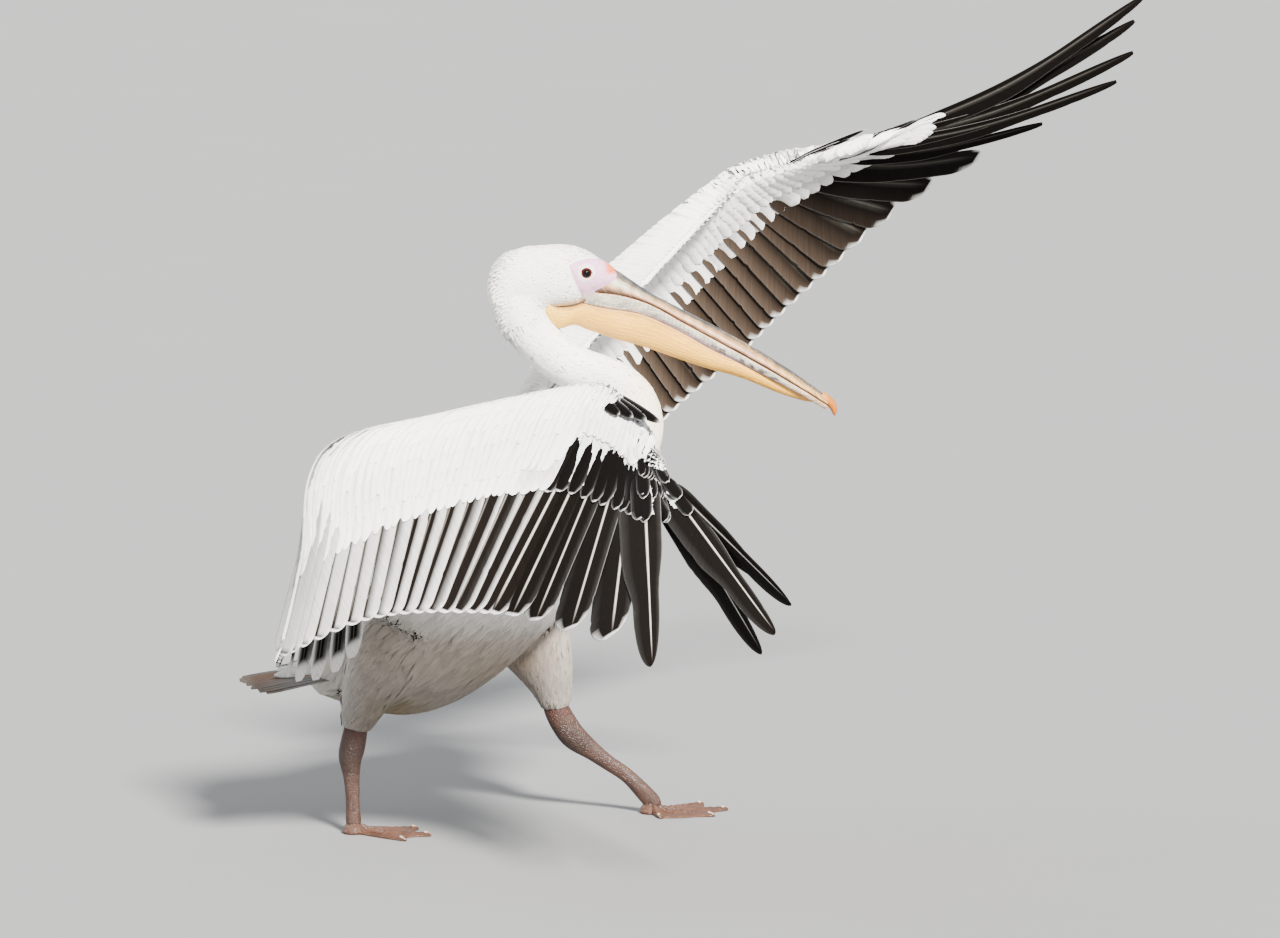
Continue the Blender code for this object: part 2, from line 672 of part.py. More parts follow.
def foot(side, data, home):
    """Four toes joined by webs, flat underneath, in rings round the heel."""
    mirror = 1.0 if side == "left" else -1.0
    centre = Vector((*data["foot"], 0.0))
    toes = [(math.radians(angle), length) for angle, length in TOES]
    low, high = toes[0][0], toes[-1][0]

    def reach_and_ridge(angle):
        off = min(abs(angle - toe[0]) for toe in toes)
        ridge = math.exp(-((off / 0.085) ** 2))
        if low <= angle <= high:
            return float(smooth(toes, angle)[0]) * (0.80 + 0.20 * math.exp(-((off / 0.11) ** 2))), ridge
        end = toes[0][1] if angle < low else toes[-1][1]
        return HEEL_RADIUS + (end - HEEL_RADIUS) * math.exp(-((off / 0.075) ** 2)), ridge

    sides = 38
    web_angles = np.linspace(low - 0.2, high + 0.2, 30)
    heel_angles = np.linspace(high + 0.2, low - 0.2 + 2 * math.pi, sides - 28)[1:-1]
    rings = []
    for share, on_top in ((1.0, False), (1.0, True), (0.62, True), (0.25, True), (0.05, True)):
        ring = []
        for angle in [*web_angles, *heel_angles]:
            reach, ridge = reach_and_ridge((angle + math.pi) % (2 * math.pi) - math.pi)
            heading = data["heading"] - mirror * angle
            radius = reach * share
            heel = math.exp(-((radius / HEEL_RADIUS) ** 2))
            height = (WEB_THICKNESS + (HEEL_HEIGHT - WEB_THICKNESS) * heel
                      + (TOE_HEIGHT - WEB_THICKNESS) * ridge * (1.0 - 0.55 * share) * (1.0 - heel))
            ring.append(centre + Vector((radius * math.cos(heading), radius * math.sin(heading),
                                         height if on_top else 0.0)))
        rings.append(ring)
    loft(f"foot_{side}", rings, "leg_skin", home)


# ---------------------------------------------------------------- assembly
def boxes_meet(one, other):
    def box(thing):
        places = np.array([vertex.co for vertex in thing.data.vertices])
        return places.min(axis=0) - 2 * GAP, places.max(axis=0) + 2 * GAP
    (low, high), (other_low, other_high) = box(one), box(other)
    return bool((low < other_high).all() and (other_low < high).all())


def fit_together(home, guides):
    """Cuts each part back from those named before it in this order, so that none overlap."""
    order = ("eye", "bill_nail", "head", "bill_upper", "bill_lower", "neck", "pouch", "trunk", "thigh",
             "foot", "tarsus", "hand", "forearm", "secondaries", "primaries", "primary", "alula",
             "arm", "tail")

    def rank(thing):
        return next(i for i, word in enumerate(order) if word in thing.name)

    def already_parted(one, other):
        """Both come from the one body that thin cuts parted."""
        return all(any(word in thing.name for word in ("head", "neck", "trunk")) for thing in (one, other))

    done = []
    for part in sorted(home.objects, key=rank):
        close = [other for other in done if boxes_meet(part, other) and not already_parted(part, other)]
        if close:
            trim(part, close, guides)
        done.append(part)


def stand_on_origin(home):
    """Moves everything so that the soles are at Z = 0 and the box is centred on X = Y = 0."""
    corners = [vertex.co for part in home.objects for vertex in part.data.vertices]
    low = Vector([min(corner[axis] for corner in corners) for axis in range(3)])
    high = Vector([max(corner[axis] for corner in corners) for axis in range(3)])
    shift = Vector((-(low.x + high.x) / 2, -(low.y + high.y) / 2, -low.z))
    for part in home.objects:
        part.data.transform(Matrix.Translation(shift))


def main():
    clear_scene()
    home = new_collection("pelican")
    guides = new_collection("cutters")
    flesh(home, guides)
    eyes(home)
    bill(home)
    for side in ("right", "left"):
        wing(side, home)
        leg(side, home)
    tail(home)
    fit_together(home, guides)
    for guide in list(guides.objects):
        bpy.data.objects.remove(guide, do_unlink=True)
    stand_on_origin(home)


main()
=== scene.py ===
# Looks of the life-size great white pelican: one skin, its plumage, bill, eyes, legs and feet.
#
# Everything is modelled in the bird's own frame (the middle plane is Y = 0, the bird faces +X,
# its right wing is at -Y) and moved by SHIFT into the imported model's frame when a mesh is made.
# Lengths are in metres.

import math

import bmesh
import bpy
import numpy as np
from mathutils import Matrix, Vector
from mathutils.bvhtree import BVHTree
from mathutils.kdtree import KDTree


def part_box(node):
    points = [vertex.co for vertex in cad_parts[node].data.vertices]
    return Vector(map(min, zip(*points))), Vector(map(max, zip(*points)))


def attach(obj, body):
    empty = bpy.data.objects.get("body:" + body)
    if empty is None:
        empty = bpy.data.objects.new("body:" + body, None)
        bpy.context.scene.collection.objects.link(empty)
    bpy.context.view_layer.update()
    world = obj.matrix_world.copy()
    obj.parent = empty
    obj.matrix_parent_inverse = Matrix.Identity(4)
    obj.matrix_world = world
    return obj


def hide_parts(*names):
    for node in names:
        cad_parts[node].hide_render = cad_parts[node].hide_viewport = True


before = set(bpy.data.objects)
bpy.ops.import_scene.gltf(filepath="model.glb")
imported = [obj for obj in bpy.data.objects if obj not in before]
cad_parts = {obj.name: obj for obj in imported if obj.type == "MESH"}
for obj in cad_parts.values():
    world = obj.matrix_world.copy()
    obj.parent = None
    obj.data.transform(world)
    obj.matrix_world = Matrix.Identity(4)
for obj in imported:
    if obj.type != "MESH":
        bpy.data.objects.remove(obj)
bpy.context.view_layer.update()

# ---------------------------------------------------------------- driving dimensions
EYE_RADIUS = 0.0085
EYE_AT = np.array((0.1725, 0.0, 0.8270))
EYE_SPREAD = 0.0245
EYE_CORNERS = 64             # vertices round the eyeball and its lid
# the lid's rings from the eyeball outwards: radius, and height over the eye's middle
LID_RIM = ((0.0077, 0.0034), (0.0079, 0.0046), (0.0083, 0.0054), (0.0089, 0.0057), (0.0095, 0.0055),
           (0.0101, 0.0050), (0.0107, 0.0047), (0.0113, 0.0046))
# then those on the bare skin: radius, and height over the skin
LID_FLANGE = ((0.0123, 0.0004), (0.0134, 0.0001), (0.0146, -0.0006))
# painted shade on each of the lid's rings: darkest where the lid tucks against the eyeball and on its
# hidden inner ring, a faint dip on the rim's outer slope
LID_PAINTED_SHADE = (0.55, 0.75, 0.95, 1.0, 1.0, 0.93, 0.88, 0.92, 0.98, 1.0, 1.0, 1.0, 0.6)
EYE_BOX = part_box("eye_right")
SHIFT = np.array((EYE_BOX[0] + EYE_BOX[1]) / 2) - EYE_AT + np.array((0.0, EYE_SPREAD, 0.0))

UV_PATCH = 0.003             # how wide a tuft's patch is on the coat's unwrap
DENSITY = 1.0

FLESH = ["trunk", "neck_lower", "neck_upper", "head", "thigh_left", "thigh_right",
         "wing_left_arm", "wing_left_forearm", "wing_left_hand",
         "wing_right_arm", "wing_right_forearm", "wing_right_hand"]
SKIN_VOXEL = 0.0055
# how far the skin lies inside the solids' surface: the depth of the coat over it
COAT_DEPTH = {"trunk": 0.0060, "neck_lower": 0.0034, "neck_upper": 0.0028, "head": 0.0023,
              "thigh": 0.0040, "wing": 0.0012}

TRUNK_REAR = np.array((-0.209, 0.0, 0.234))
TRUNK_FRONT = np.array((0.287, 0.0, 0.598))
# x, z along the middle of the neck, from the body to the skull
NECK_LINE = ((0, 0.155, 0.455), (1, 0.190, 0.492), (2, 0.220, 0.530), (3, 0.238, 0.566),
             (4, 0.246, 0.595), (5, 0.245, 0.620), (6, 0.234, 0.643), (7, 0.211, 0.662),
             (8, 0.175, 0.675), (9, 0.141, 0.690), (10, 0.117, 0.709), (11, 0.097, 0.730),
             (12, 0.080, 0.755), (13, 0.074, 0.785), (14, 0.080, 0.815))
THIGHS = {"right": ((-0.100, -0.078, 0.300), (-0.168, -0.086, 0.155)),
          "left": ((0.070, 0.078, 0.310), (0.127, 0.085, 0.158))}

BILL_ORIGIN = np.array((0.1884, 0.0, 0.8242))
BILL_PITCH = math.radians(29.5)
# distance along the bill, culmen, tomium, bottom of the lower jaw, half width
BILL_STATIONS = (
    (0.004, 0.018, -0.028, -0.048, 0.020),
    (0.012, 0.018, -0.024, -0.046, 0.021),
    (0.031, 0.017, -0.015, -0.040, 0.022),
    (0.084, 0.013, -0.001, -0.021, 0.020),
    (0.145, 0.015, 0.000, -0.015, 0.018),
    (0.200, 0.017, 0.001, -0.015, 0.019),
    (0.260, 0.017, 0.002, -0.011, 0.021),
    (0.325, 0.014, 0.001, -0.009, 0.021),
    (0.370, 0.009, -0.001, -0.009, 0.016),
    (0.392, 0.006, -0.003, -0.010, 0.009),
)
NAIL_STATIONS = ((0.378, 0.0098, -0.0010, 0.0098), (0.392, 0.0080, -0.0035, 0.0088),
                 (0.401, 0.0045, -0.0070, 0.0068), (0.4070, -0.0010, -0.0110, 0.0048),
                 (0.4105, -0.0070, -0.0125, 0.0026))
# distance along the bill, depth of the pouch's bottom edge, half width
POUCH_STATIONS = ((-0.052, -0.090, 0.010), (-0.036, -0.097, 0.017), (-0.006, -0.098, 0.022),
                  (0.004, -0.087, 0.0235), (0.030, -0.080, 0.0245), (0.068, -0.073, 0.023),
                  (0.107, -0.063, 0.021), (0.145, -0.056, 0.019), (0.204, -0.045, 0.018),
                  (0.262, -0.031, 0.017), (0.323, -0.023, 0.014), (0.350, -0.0175, 0.012),
                  (0.366, -0.0125, 0.010), (0.371, -0.0100, 0.009))
# upper edge of the pouch behind the jaw, where the cheek hangs over it
POUCH_TOP = ((-0.056, -0.087), (-0.0515, -0.080), (-0.025, -0.0720), (-0.0067, -0.0600),
             (0.004, -0.0480))
# outline of the bare skin round the eye, seen from the side (x, z)
FACE_OUTLINE = ((0.1465, 0.8385), (0.1560, 0.8440), (0.1740, 0.8475), (0.1920, 0.8465),
                (0.2080, 0.8390), (0.2200, 0.8300), (0.2420, 0.8240), (0.2420, 0.7600),
                (0.1690, 0.7600), (0.1675, 0.7860), (0.1640, 0.7980), (0.1560, 0.8160))
# lower edge of the cheek's coat, over the pouch (x, z)
CHEEK_LINE = ((0.100, 0.7830), (0.118, 0.7790), (0.132, 0.7760), (0.150, 0.7765), (0.166, 0.7820),
              (0.170, 0.7900))

# Joints of each wing, and the tips of its feathers at places u along the bones:
# 0 shoulder, 1 elbow, 2 wrist, 3 end of the hand.
WINGS = {
    "right": {
        "bones": ((0.090, -0.100, 0.575), (-0.201, -0.292, 0.578), (0.185, -0.310, 0.662),
                  (0.287, -0.470, 0.585)),
        "patagium_rise": 0.012, "sag": 0.0,
        "tips": ((0.0, -0.175, -0.120, 0.395), (0.5, -0.270, -0.225, 0.323),
                 (0.8, -0.274, -0.300, 0.283), (1.0, -0.268, -0.345, 0.305),
                 (1.25, -0.167, -0.375, 0.358), (1.5, -0.094, -0.390, 0.376),
                 (1.75, -0.029, -0.398, 0.380), (2.0, 0.033, -0.412, 0.380),
                 (2.2, 0.087, -0.465, 0.381), (2.4, 0.145, -0.555, 0.382),
                 (2.55, 0.222, -0.670, 0.385), (2.65, 0.268, -0.770, 0.368),
                 (2.70, 0.285, -0.800, 0.366), (2.75, 0.422, -0.840, 0.392),
                 (2.85, 0.440, -0.885, 0.427), (2.95, 0.461, -0.880, 0.468)),
        "first_finger": 8,
        "alula_from": 2.03, "alula_tip": (0.279, -0.420, 0.6505),
        "dorsal_y": -1.0,
    },
    "left": {
        "bones": ((0.059, 0.100, 0.576), (0.156, 0.340, 0.711), (0.411, 0.400, 0.915),
                  (0.617, 0.460, 0.975)),
        "patagium_rise": 0.004, "sag": 0.026,
        "tips": ((0.0, -0.170, 0.130, 0.400), (0.5, 0.030, 0.330, 0.445),
                 (0.8, 0.190, 0.425, 0.487), (1.0, 0.262, 0.462, 0.522),
                 (1.25, 0.330, 0.500, 0.578), (1.5, 0.410, 0.540, 0.640),
                 (1.75, 0.474, 0.572, 0.699), (2.0, 0.552, 0.604, 0.768),
                 (2.2, 0.618, 0.627, 0.826), (2.35, 0.700, 0.648, 0.884),
                 (2.45, 0.776, 0.658, 0.928), (2.55, 0.872, 0.655, 0.978),
                 (2.65, 0.985, 0.640, 1.045), (2.75, 1.010, 0.640, 1.090),
                 (2.85, 1.012, 0.648, 1.138), (2.95, 1.026, 0.630, 1.178)),
        "first_finger": 6,
        "alula_from": 2.30, "alula_tip": (0.589, 0.450, 0.991),
        "dorsal_y": 1.0,
    },
}
# thickness of a wing's flesh: v along the chord, the ordinary part, share of the bones' thickness
FLESH_PROFILE = ((0.0, 0.012, 0.0), (0.5, 0.024, 0.0), (1.0, 0.0, 1.0), (1.3, 0.022, 0.0),
                 (1.6, 0.010, 0.0), (2.0, 0.006, 0.0))
V_LAST = 1.97                # the last v at which the surface's slope is taken
# place u along the bones, share of the feathers that the coverts hide
COVERT_SHARE = ((0.0, 0.62), (1.0, 0.56), (1.4, 0.43), (2.0, 0.36), (2.6, 0.32), (3.0, 0.27))
SECONDARIES = 16
PRIMARY_PLACES = {"right": (2.02, 2.13, 2.26, 2.42, 2.53, 2.655, 2.67, 2.75, 2.85, 2.95),
                  "left": (2.05, 2.15, 2.25, 2.35, 2.45, 2.55, 2.65, 2.75, 2.85, 2.95)}
# tips of the near wing's tertials, from the innermost out
TERTIAL_TIPS = ((0.0, -0.171, -0.160, 0.275), (0.33, -0.203, -0.180, 0.252),
                (0.66, -0.240, -0.205, 0.247), (1.0, -0.262, -0.245, 0.260))
LEADING_EDGE = 0.016

TAIL_BASE = np.array((-0.165, 0.0, 0.243))
TAIL_LENGTH = 0.180
TAIL_DROOP = math.radians(8.0)
TAIL_HALF_FAN = math.radians(21.0)
TAIL_FEATHERS = 20

# Each leg: points down the middle of the bare shank, and the half widths fore-aft and sideways.
LEGS = {
    "right": {
        "tarsus": ((-0.166, -0.086, 0.170, 0.0165, 0.0150), (-0.168, -0.086, 0.1547, 0.0175, 0.0150),
                   (-0.173, -0.085, 0.130, 0.0185, 0.0155), (-0.176, -0.085, 0.113, 0.0170, 0.0140),
                   (-0.175, -0.085, 0.085, 0.0120, 0.0090), (-0.173, -0.085, 0.050, 0.0105, 0.0080),
                   (-0.172, -0.085, 0.0215, 0.0120, 0.0095), (-0.172, -0.085, 0.010, 0.0110, 0.0090)),
        "foot": (-0.172, -0.085), "heading": math.radians(-9.0), "mirror": -1.0,
    },
    "left": {
        "tarsus": ((0.124, 0.085, 0.172, 0.0165, 0.0150), (0.127, 0.085, 0.1577, 0.0185, 0.0150),
                   (0.140, 0.085, 0.133, 0.0195, 0.0155), (0.156, 0.085, 0.113, 0.0185, 0.0145),
                   (0.188, 0.085, 0.088, 0.0130, 0.0095), (0.232, 0.085, 0.057, 0.0115, 0.0085),
                   (0.266, 0.085, 0.0225, 0.0125, 0.0095), (0.272, 0.085, 0.010, 0.0115, 0.0090)),
        "foot": (0.268, 0.085), "heading": math.radians(9.0), "mirror": 1.0,
    },
}
# angle of each toe from the foot's heading (outer first), and its length
TOES = ((-32.0, 0.104), (-3.0, 0.118), (27.0, 0.100), (84.0, 0.052))
WEB_THICKNESS = 0.0032
TOE_HEIGHT = 0.0085
HEEL_HEIGHT = 0.0205
HEEL_RADIUS = 0.016

CAMERA_DISTANCE = 14.0
CAMERA_RISE = math.radians(8.0)
VIEW_WIDTH = 1.894           # width of the view at the bird, in metres
VIEW_CENTRE = np.array((0.2516, 0.0, 0.532))

# Colours are linear.
WHITE = np.array((0.83, 0.82, 0.79))
CREAM = np.array((0.83, 0.73, 0.54))
BLACK = np.array((0.0030, 0.0024, 0.0021))
BROWN = np.array((0.088, 0.062, 0.045))
PALE_GREY = np.array((0.70, 0.69, 0.67))
SHAFT = np.array((0.70, 0.66, 0.58))
FACE_PINK = np.array((0.60, 0.33, 0.47))
FACE_ORANGE = np.array((0.60, 0.115, 0.008))


# ---------------------------------------------------------------- numbers
def hermite(t, step, start, start_slope, end, end_slope):
    """Between two keys that are a step apart: t goes from 0 to 1, slopes are per unit."""
    return ((2 * t**3 - 3 * t**2 + 1) * start + (t**3 - 2 * t**2 + t) * step * start_slope
            + (3 * t**2 - 2 * t**3) * end + (t**3 - t**2) * step * end_slope)


def curve(keys, at):
    """Values at places on a smooth curve through keys, rows of (place, value, ...)."""
    rows = np.asarray(keys, float)
    places, values = rows[:, 0], rows[:, 1:]
    at = np.clip(np.asarray(at, float), places[0], places[-1])
    i = np.clip(np.searchsorted(places, at, side="right") - 1, 0, len(places) - 2)
    slopes = np.gradient(values, places, axis=0)
    step = (places[i + 1] - places[i])[..., None]
    t = (at - places[i])[..., None] / step
    return hermite(t, step, values[i], slopes[i], values[i + 1], slopes[i + 1])


def ease(low, high, value):
    """0 at low, 1 at high, smooth between them; low may be the greater."""
    t = np.clip((np.asarray(value, float) - low) / (high - low), 0.0, 1.0)
    return t * t * (3.0 - 2.0 * t)


def bell(value, width):
    """1 at zero, falling away on both sides."""
    return np.exp(-((value / width) ** 2))


def rounded(t, start, length, least):
    """Share of the full width towards a feather's round tip."""
    return np.sqrt(np.clip(1.0 - (np.clip(t - start, 0.0, 1.0) / length) ** 2, least, 1.0))


def turns(corners):
    """Angles round a ring."""
    return np.linspace(0.0, 2 * math.pi, corners, endpoint=False)


def wrapped(sideways, upwards):
    """Angle round a body part, from 0 to 1, for its unwrap."""
    return np.arctan2(sideways, upwards) / (2 * math.pi) + 0.5


def distances(points):
    """Distance along each line of points from its start."""
    steps = np.linalg.norm(np.diff(points, axis=-2), axis=-1)
    return np.concatenate([np.zeros((*steps.shape[:-1], 1)), np.cumsum(steps, axis=-1)], axis=-1)


def unit(vectors):
    return vectors / np.maximum(np.linalg.norm(vectors, axis=-1, keepdims=True), 1e-9)


def mix(one, other, share):
    """From one colour to another by a share at each place."""
    share = np.asarray(share, float)[..., None]
    return one * (1.0 - share) + other * share


def across_plane(vectors, normals):
    """The part of each vector that lies along the surface, at unit length."""
    return unit(vectors - normals * (vectors * normals).sum(-1, keepdims=True))


def ripple(points, scale, seed):
    """Cheap smooth noise between -1 and 1 from a few sine waves."""
    rng = np.random.default_rng(seed)
    total = np.zeros(points.shape[:-1])
    for _ in range(6):
        heading = rng.normal(size=points.shape[-1])
        total += np.sin(points @ heading / scale + rng.uniform(0, 2 * math.pi))
    return total / 6.0 ** 0.5 / 1.4


def stacked(*parts):
    """Grids of numbers side by side, as the parts of one grid of vectors."""
    return np.stack(np.broadcast_arrays(*parts), axis=-1)


def grain(seed, *places):
    """Ripples over a grid, from its places counted in wavelengths."""
    return ripple(stacked(*places), 1.0, seed)


def paint(shape, base, *layers):
    """A base colour over a grid, with layers on top of it: each a colour and its share."""
    tone = np.broadcast_to(base, (*shape, 3))
    for colour, share in layers:
        tone = mix(tone, colour, share)
    return tone


def inside(outline, x, z):
    """Signed distance into a closed outline: positive inside."""
    corners = np.asarray(outline, float)
    ends = np.roll(corners, -1, axis=0)
    p = np.stack([x, z], axis=-1)[..., None, :]
    edge = ends - corners
    t = np.clip(((p - corners) * edge).sum(-1) / (edge**2).sum(-1), 0.0, 1.0)
    distance = np.linalg.norm(p - corners - t[..., None] * edge, axis=-1).min(-1)
    above = (corners[:, 1] > z[..., None]) != (ends[:, 1] > z[..., None])
    slope = edge[:, 0] / np.where(edge[:, 1] == 0.0, 1e-9, edge[:, 1])
    crosses = above & (x[..., None] < slope * (z[..., None] - corners[:, 1]) + corners[:, 0])
    return np.where(crosses.sum(-1) % 2 == 1, distance, -distance)


# ---------------------------------------------------------------- meshes
def make_mesh(name, points, polygons):
    """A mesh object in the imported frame; polygons are a list of arrays of (count, corners)."""
    points = np.asarray(points, float).reshape(-1, 3) + SHIFT
    totals = np.concatenate([np.full(len(group), group.shape[1]) for group in polygons])
    loops = np.concatenate([group.ravel() for group in polygons])
    mesh = bpy.data.meshes.new(name)
    mesh.vertices.add(len(points))
    mesh.vertices.foreach_set("co", points.ravel())
    mesh.loops.add(len(loops))
    mesh.loops.foreach_set("vertex_index", loops.astype(np.int32))
    mesh.polygons.add(len(totals))
    mesh.polygons.foreach_set("loop_start", np.concatenate([[0], np.cumsum(totals)[:-1]]))
    mesh.polygons.foreach_set("loop_total", totals)
    mesh.polygons.foreach_set("use_smooth", np.full(len(totals), True))
    mesh.update(calc_edges=True)
    made = bpy.data.objects.new(name, mesh)
    bpy.context.scene.collection.objects.link(made)
    return made


def give_tone(thing, values):
    """The base colour at each vertex, which the materials read."""
    values = np.asarray(values, float).reshape(-1, 3)
    attribute = thing.data.attributes.new("tone", "FLOAT_COLOR", "POINT")
    attribute.data.foreach_set("color", np.c_[values, np.ones(len(values))].ravel())


def give_vector(thing, name, values):
    """A vector at each vertex."""
    attribute = thing.data.attributes.new(name, "FLOAT_VECTOR", "POINT")
    attribute.data.foreach_set("vector", np.asarray(values, float).ravel())


def give_uv(thing, uv):
    """The coat's UV map, from one (u, v) for each vertex."""
    corner = read_out(thing.data.loops, "vertex_index", 1, np.int32)[:, 0]
    layer = thing.data.uv_layers.new(name="OFBake")
    layer.data.foreach_set("uv", np.asarray(uv, float).reshape(-1, 2)[corner].ravel())


def finished(thing, slot, material, *nodes):
    """Rides on the one body, takes its material, and stands for CAD nodes; the slot is not used."""
    thing.data.materials.clear()
    thing.data.materials.append(material)
    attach(thing, "root")
    if nodes:
        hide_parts(*nodes)
    return thing


def grid_faces(rows, columns):
    """Quads between rings of vertices, one ring to each row."""
    r = np.arange(rows - 1)[:, None] * columns
    c = np.arange(columns)[None, :]
    d = (c + 1) % columns
    return np.stack([r + c, r + d, r + columns + d, r + columns + c], axis=-1).reshape(-1, 4)


def outward(points, groups):
    """The faces of a closed solid, wound so that they face outwards."""
    points = np.asarray(points).reshape(-1, 3) - np.mean(np.asarray(points).reshape(-1, 3), axis=0)
    volume = 0.0
    for group in groups:
        for k in range(1, group.shape[1] - 1):
            fan = np.cross(points[group[:, k]], points[group[:, k + 1]])
            volume += float((points[group[:, 0]] * fan).sum())
    return groups if volume > 0.0 else [group[:, ::-1] for group in groups]


def solids(count, rows, corners):
    """Faces of a number of lofted solids: the quads round them, then both their ends."""
    base = (np.arange(count) * rows * corners)[:, None, None]
    quads = (base + grid_faces(rows, corners)[None]).reshape(-1, 4)
    ring = np.arange(corners)[None]
    return [quads, base[:, 0] + ring[:, ::-1], base[:, 0] + ring + (rows - 1) * corners]


def loft(name, rings):
    """A closed solid through rings of points (rows, corners, 3) with capped ends."""
    return make_mesh(name, rings, outward(rings, solids(1, *rings.shape[:2])))


def outline(*corners):
    """Corners going round a vane, as a row of places (-1 to 1) and a row of heights."""
    return np.ascontiguousarray(np.transpose(corners))


# heights are in thicknesses of the vane
TUFT = outline((-1.0, 0.0), (0.0, 1.0), (1.0, 0.0))
VANE = outline((-1.0, 0.0), (-0.5, 0.9), (0.0, 1.3), (0.5, 0.9), (1.0, 0.0), (0.0, -0.8))
FLIGHT = outline((-1.0, 0.0), (-0.94, 0.8), (-0.60, 1.0), (-0.28, 1.0), (-0.075, 1.0), (0.0, 2.6),
                 (0.075, 1.0), (0.28, 1.0), (0.60, 1.0), (0.94, 0.8), (1.0, 0.0), (0.94, -0.8),
                 (0.60, -1.0), (0.28, -1.0), (0.075, -1.0), (0.0, -2.2), (-0.075, -1.0),
                 (-0.28, -1.0), (-0.60, -1.0), (-0.94, -0.8))


def vanes(name, spine, across, up, left, right, thick, section, tone, uv, rng,
          tilt=0.0, dish=0.0, curl=None):
    """Many feathers as one mesh of closed thin solids.

    spine, across and up are (feathers, rows, 3), left and right half widths (feathers, rows);
    tone is the colour at each (feather, row, place across), uv each feather's root. With curl
    the feathers are shaded with the surface they lie on, rounded across by that much.
    """
    count, rows = spine.shape[:2]
    s, h = section
    across, up = across[:, :, None], up[:, :, None]
    width = np.where(s < 0.0, left[..., None], right[..., None])
    sideways = width * s
    height = np.asarray(thick)[..., None] * h + tilt * s + dish * s * s * np.abs(width)
    points = spine[:, :, None] + across * sideways[..., None] + up * height[..., None]
    groups = solids(count, rows, len(s))
    if np.linalg.det(np.stack([across[0, 1, 0], up[0, 1, 0], spine[0, -1] - spine[0, 0]])) > 0:
        groups = [group[:, ::-1] for group in groups]
    made = make_mesh(name, points, groups)
    if curl is not None:
        facing = np.where(h < 0.0, -1.0, 1.0)[:, None]
        give_vector(made, "custom_normal", unit(up * facing + (curl * s)[:, None] * across))
    give_tone(made, np.broadcast_to(tone, points.shape))
    along, own = distances(spine)[..., None], rng.random(count)[:, None, None]
    give_vector(made, "lay", stacked(along, sideways, own))
    t = np.linspace(-0.5, 0.5, rows)[:, None]
    patch = stacked(uv[:, None, None, 0] + UV_PATCH * 0.5 * s, uv[:, None, None, 1] + UV_PATCH * t)
    give_uv(made, np.clip(patch, 0.0, 1.0))
    return made


class Bunch:
    """Feathers of one section, gathered one at a time and made into one mesh."""

    def __init__(self, section):
        self.section = section
        self.gathered = []

    def add(self, spine, across, up, left, right, tone, uv):
        """One feather, by its rows; across, up and tone may be the same for all of them."""
        across, up = (np.broadcast_to(way, spine.shape) for way in (across, up))
        tone = np.broadcast_to(tone, (len(spine), self.section.shape[1], 3))
        self.gathered.append((spine, across, up, left, right, tone, uv))

    def build(self, name, thick, rng, **shape):
        """The mesh; shape is what vanes() takes besides."""
        *lines, tone, uv = (np.array(part) for part in zip(*self.gathered))
        return vanes(name, *lines, thick, self.section, tone, uv, rng, **shape)


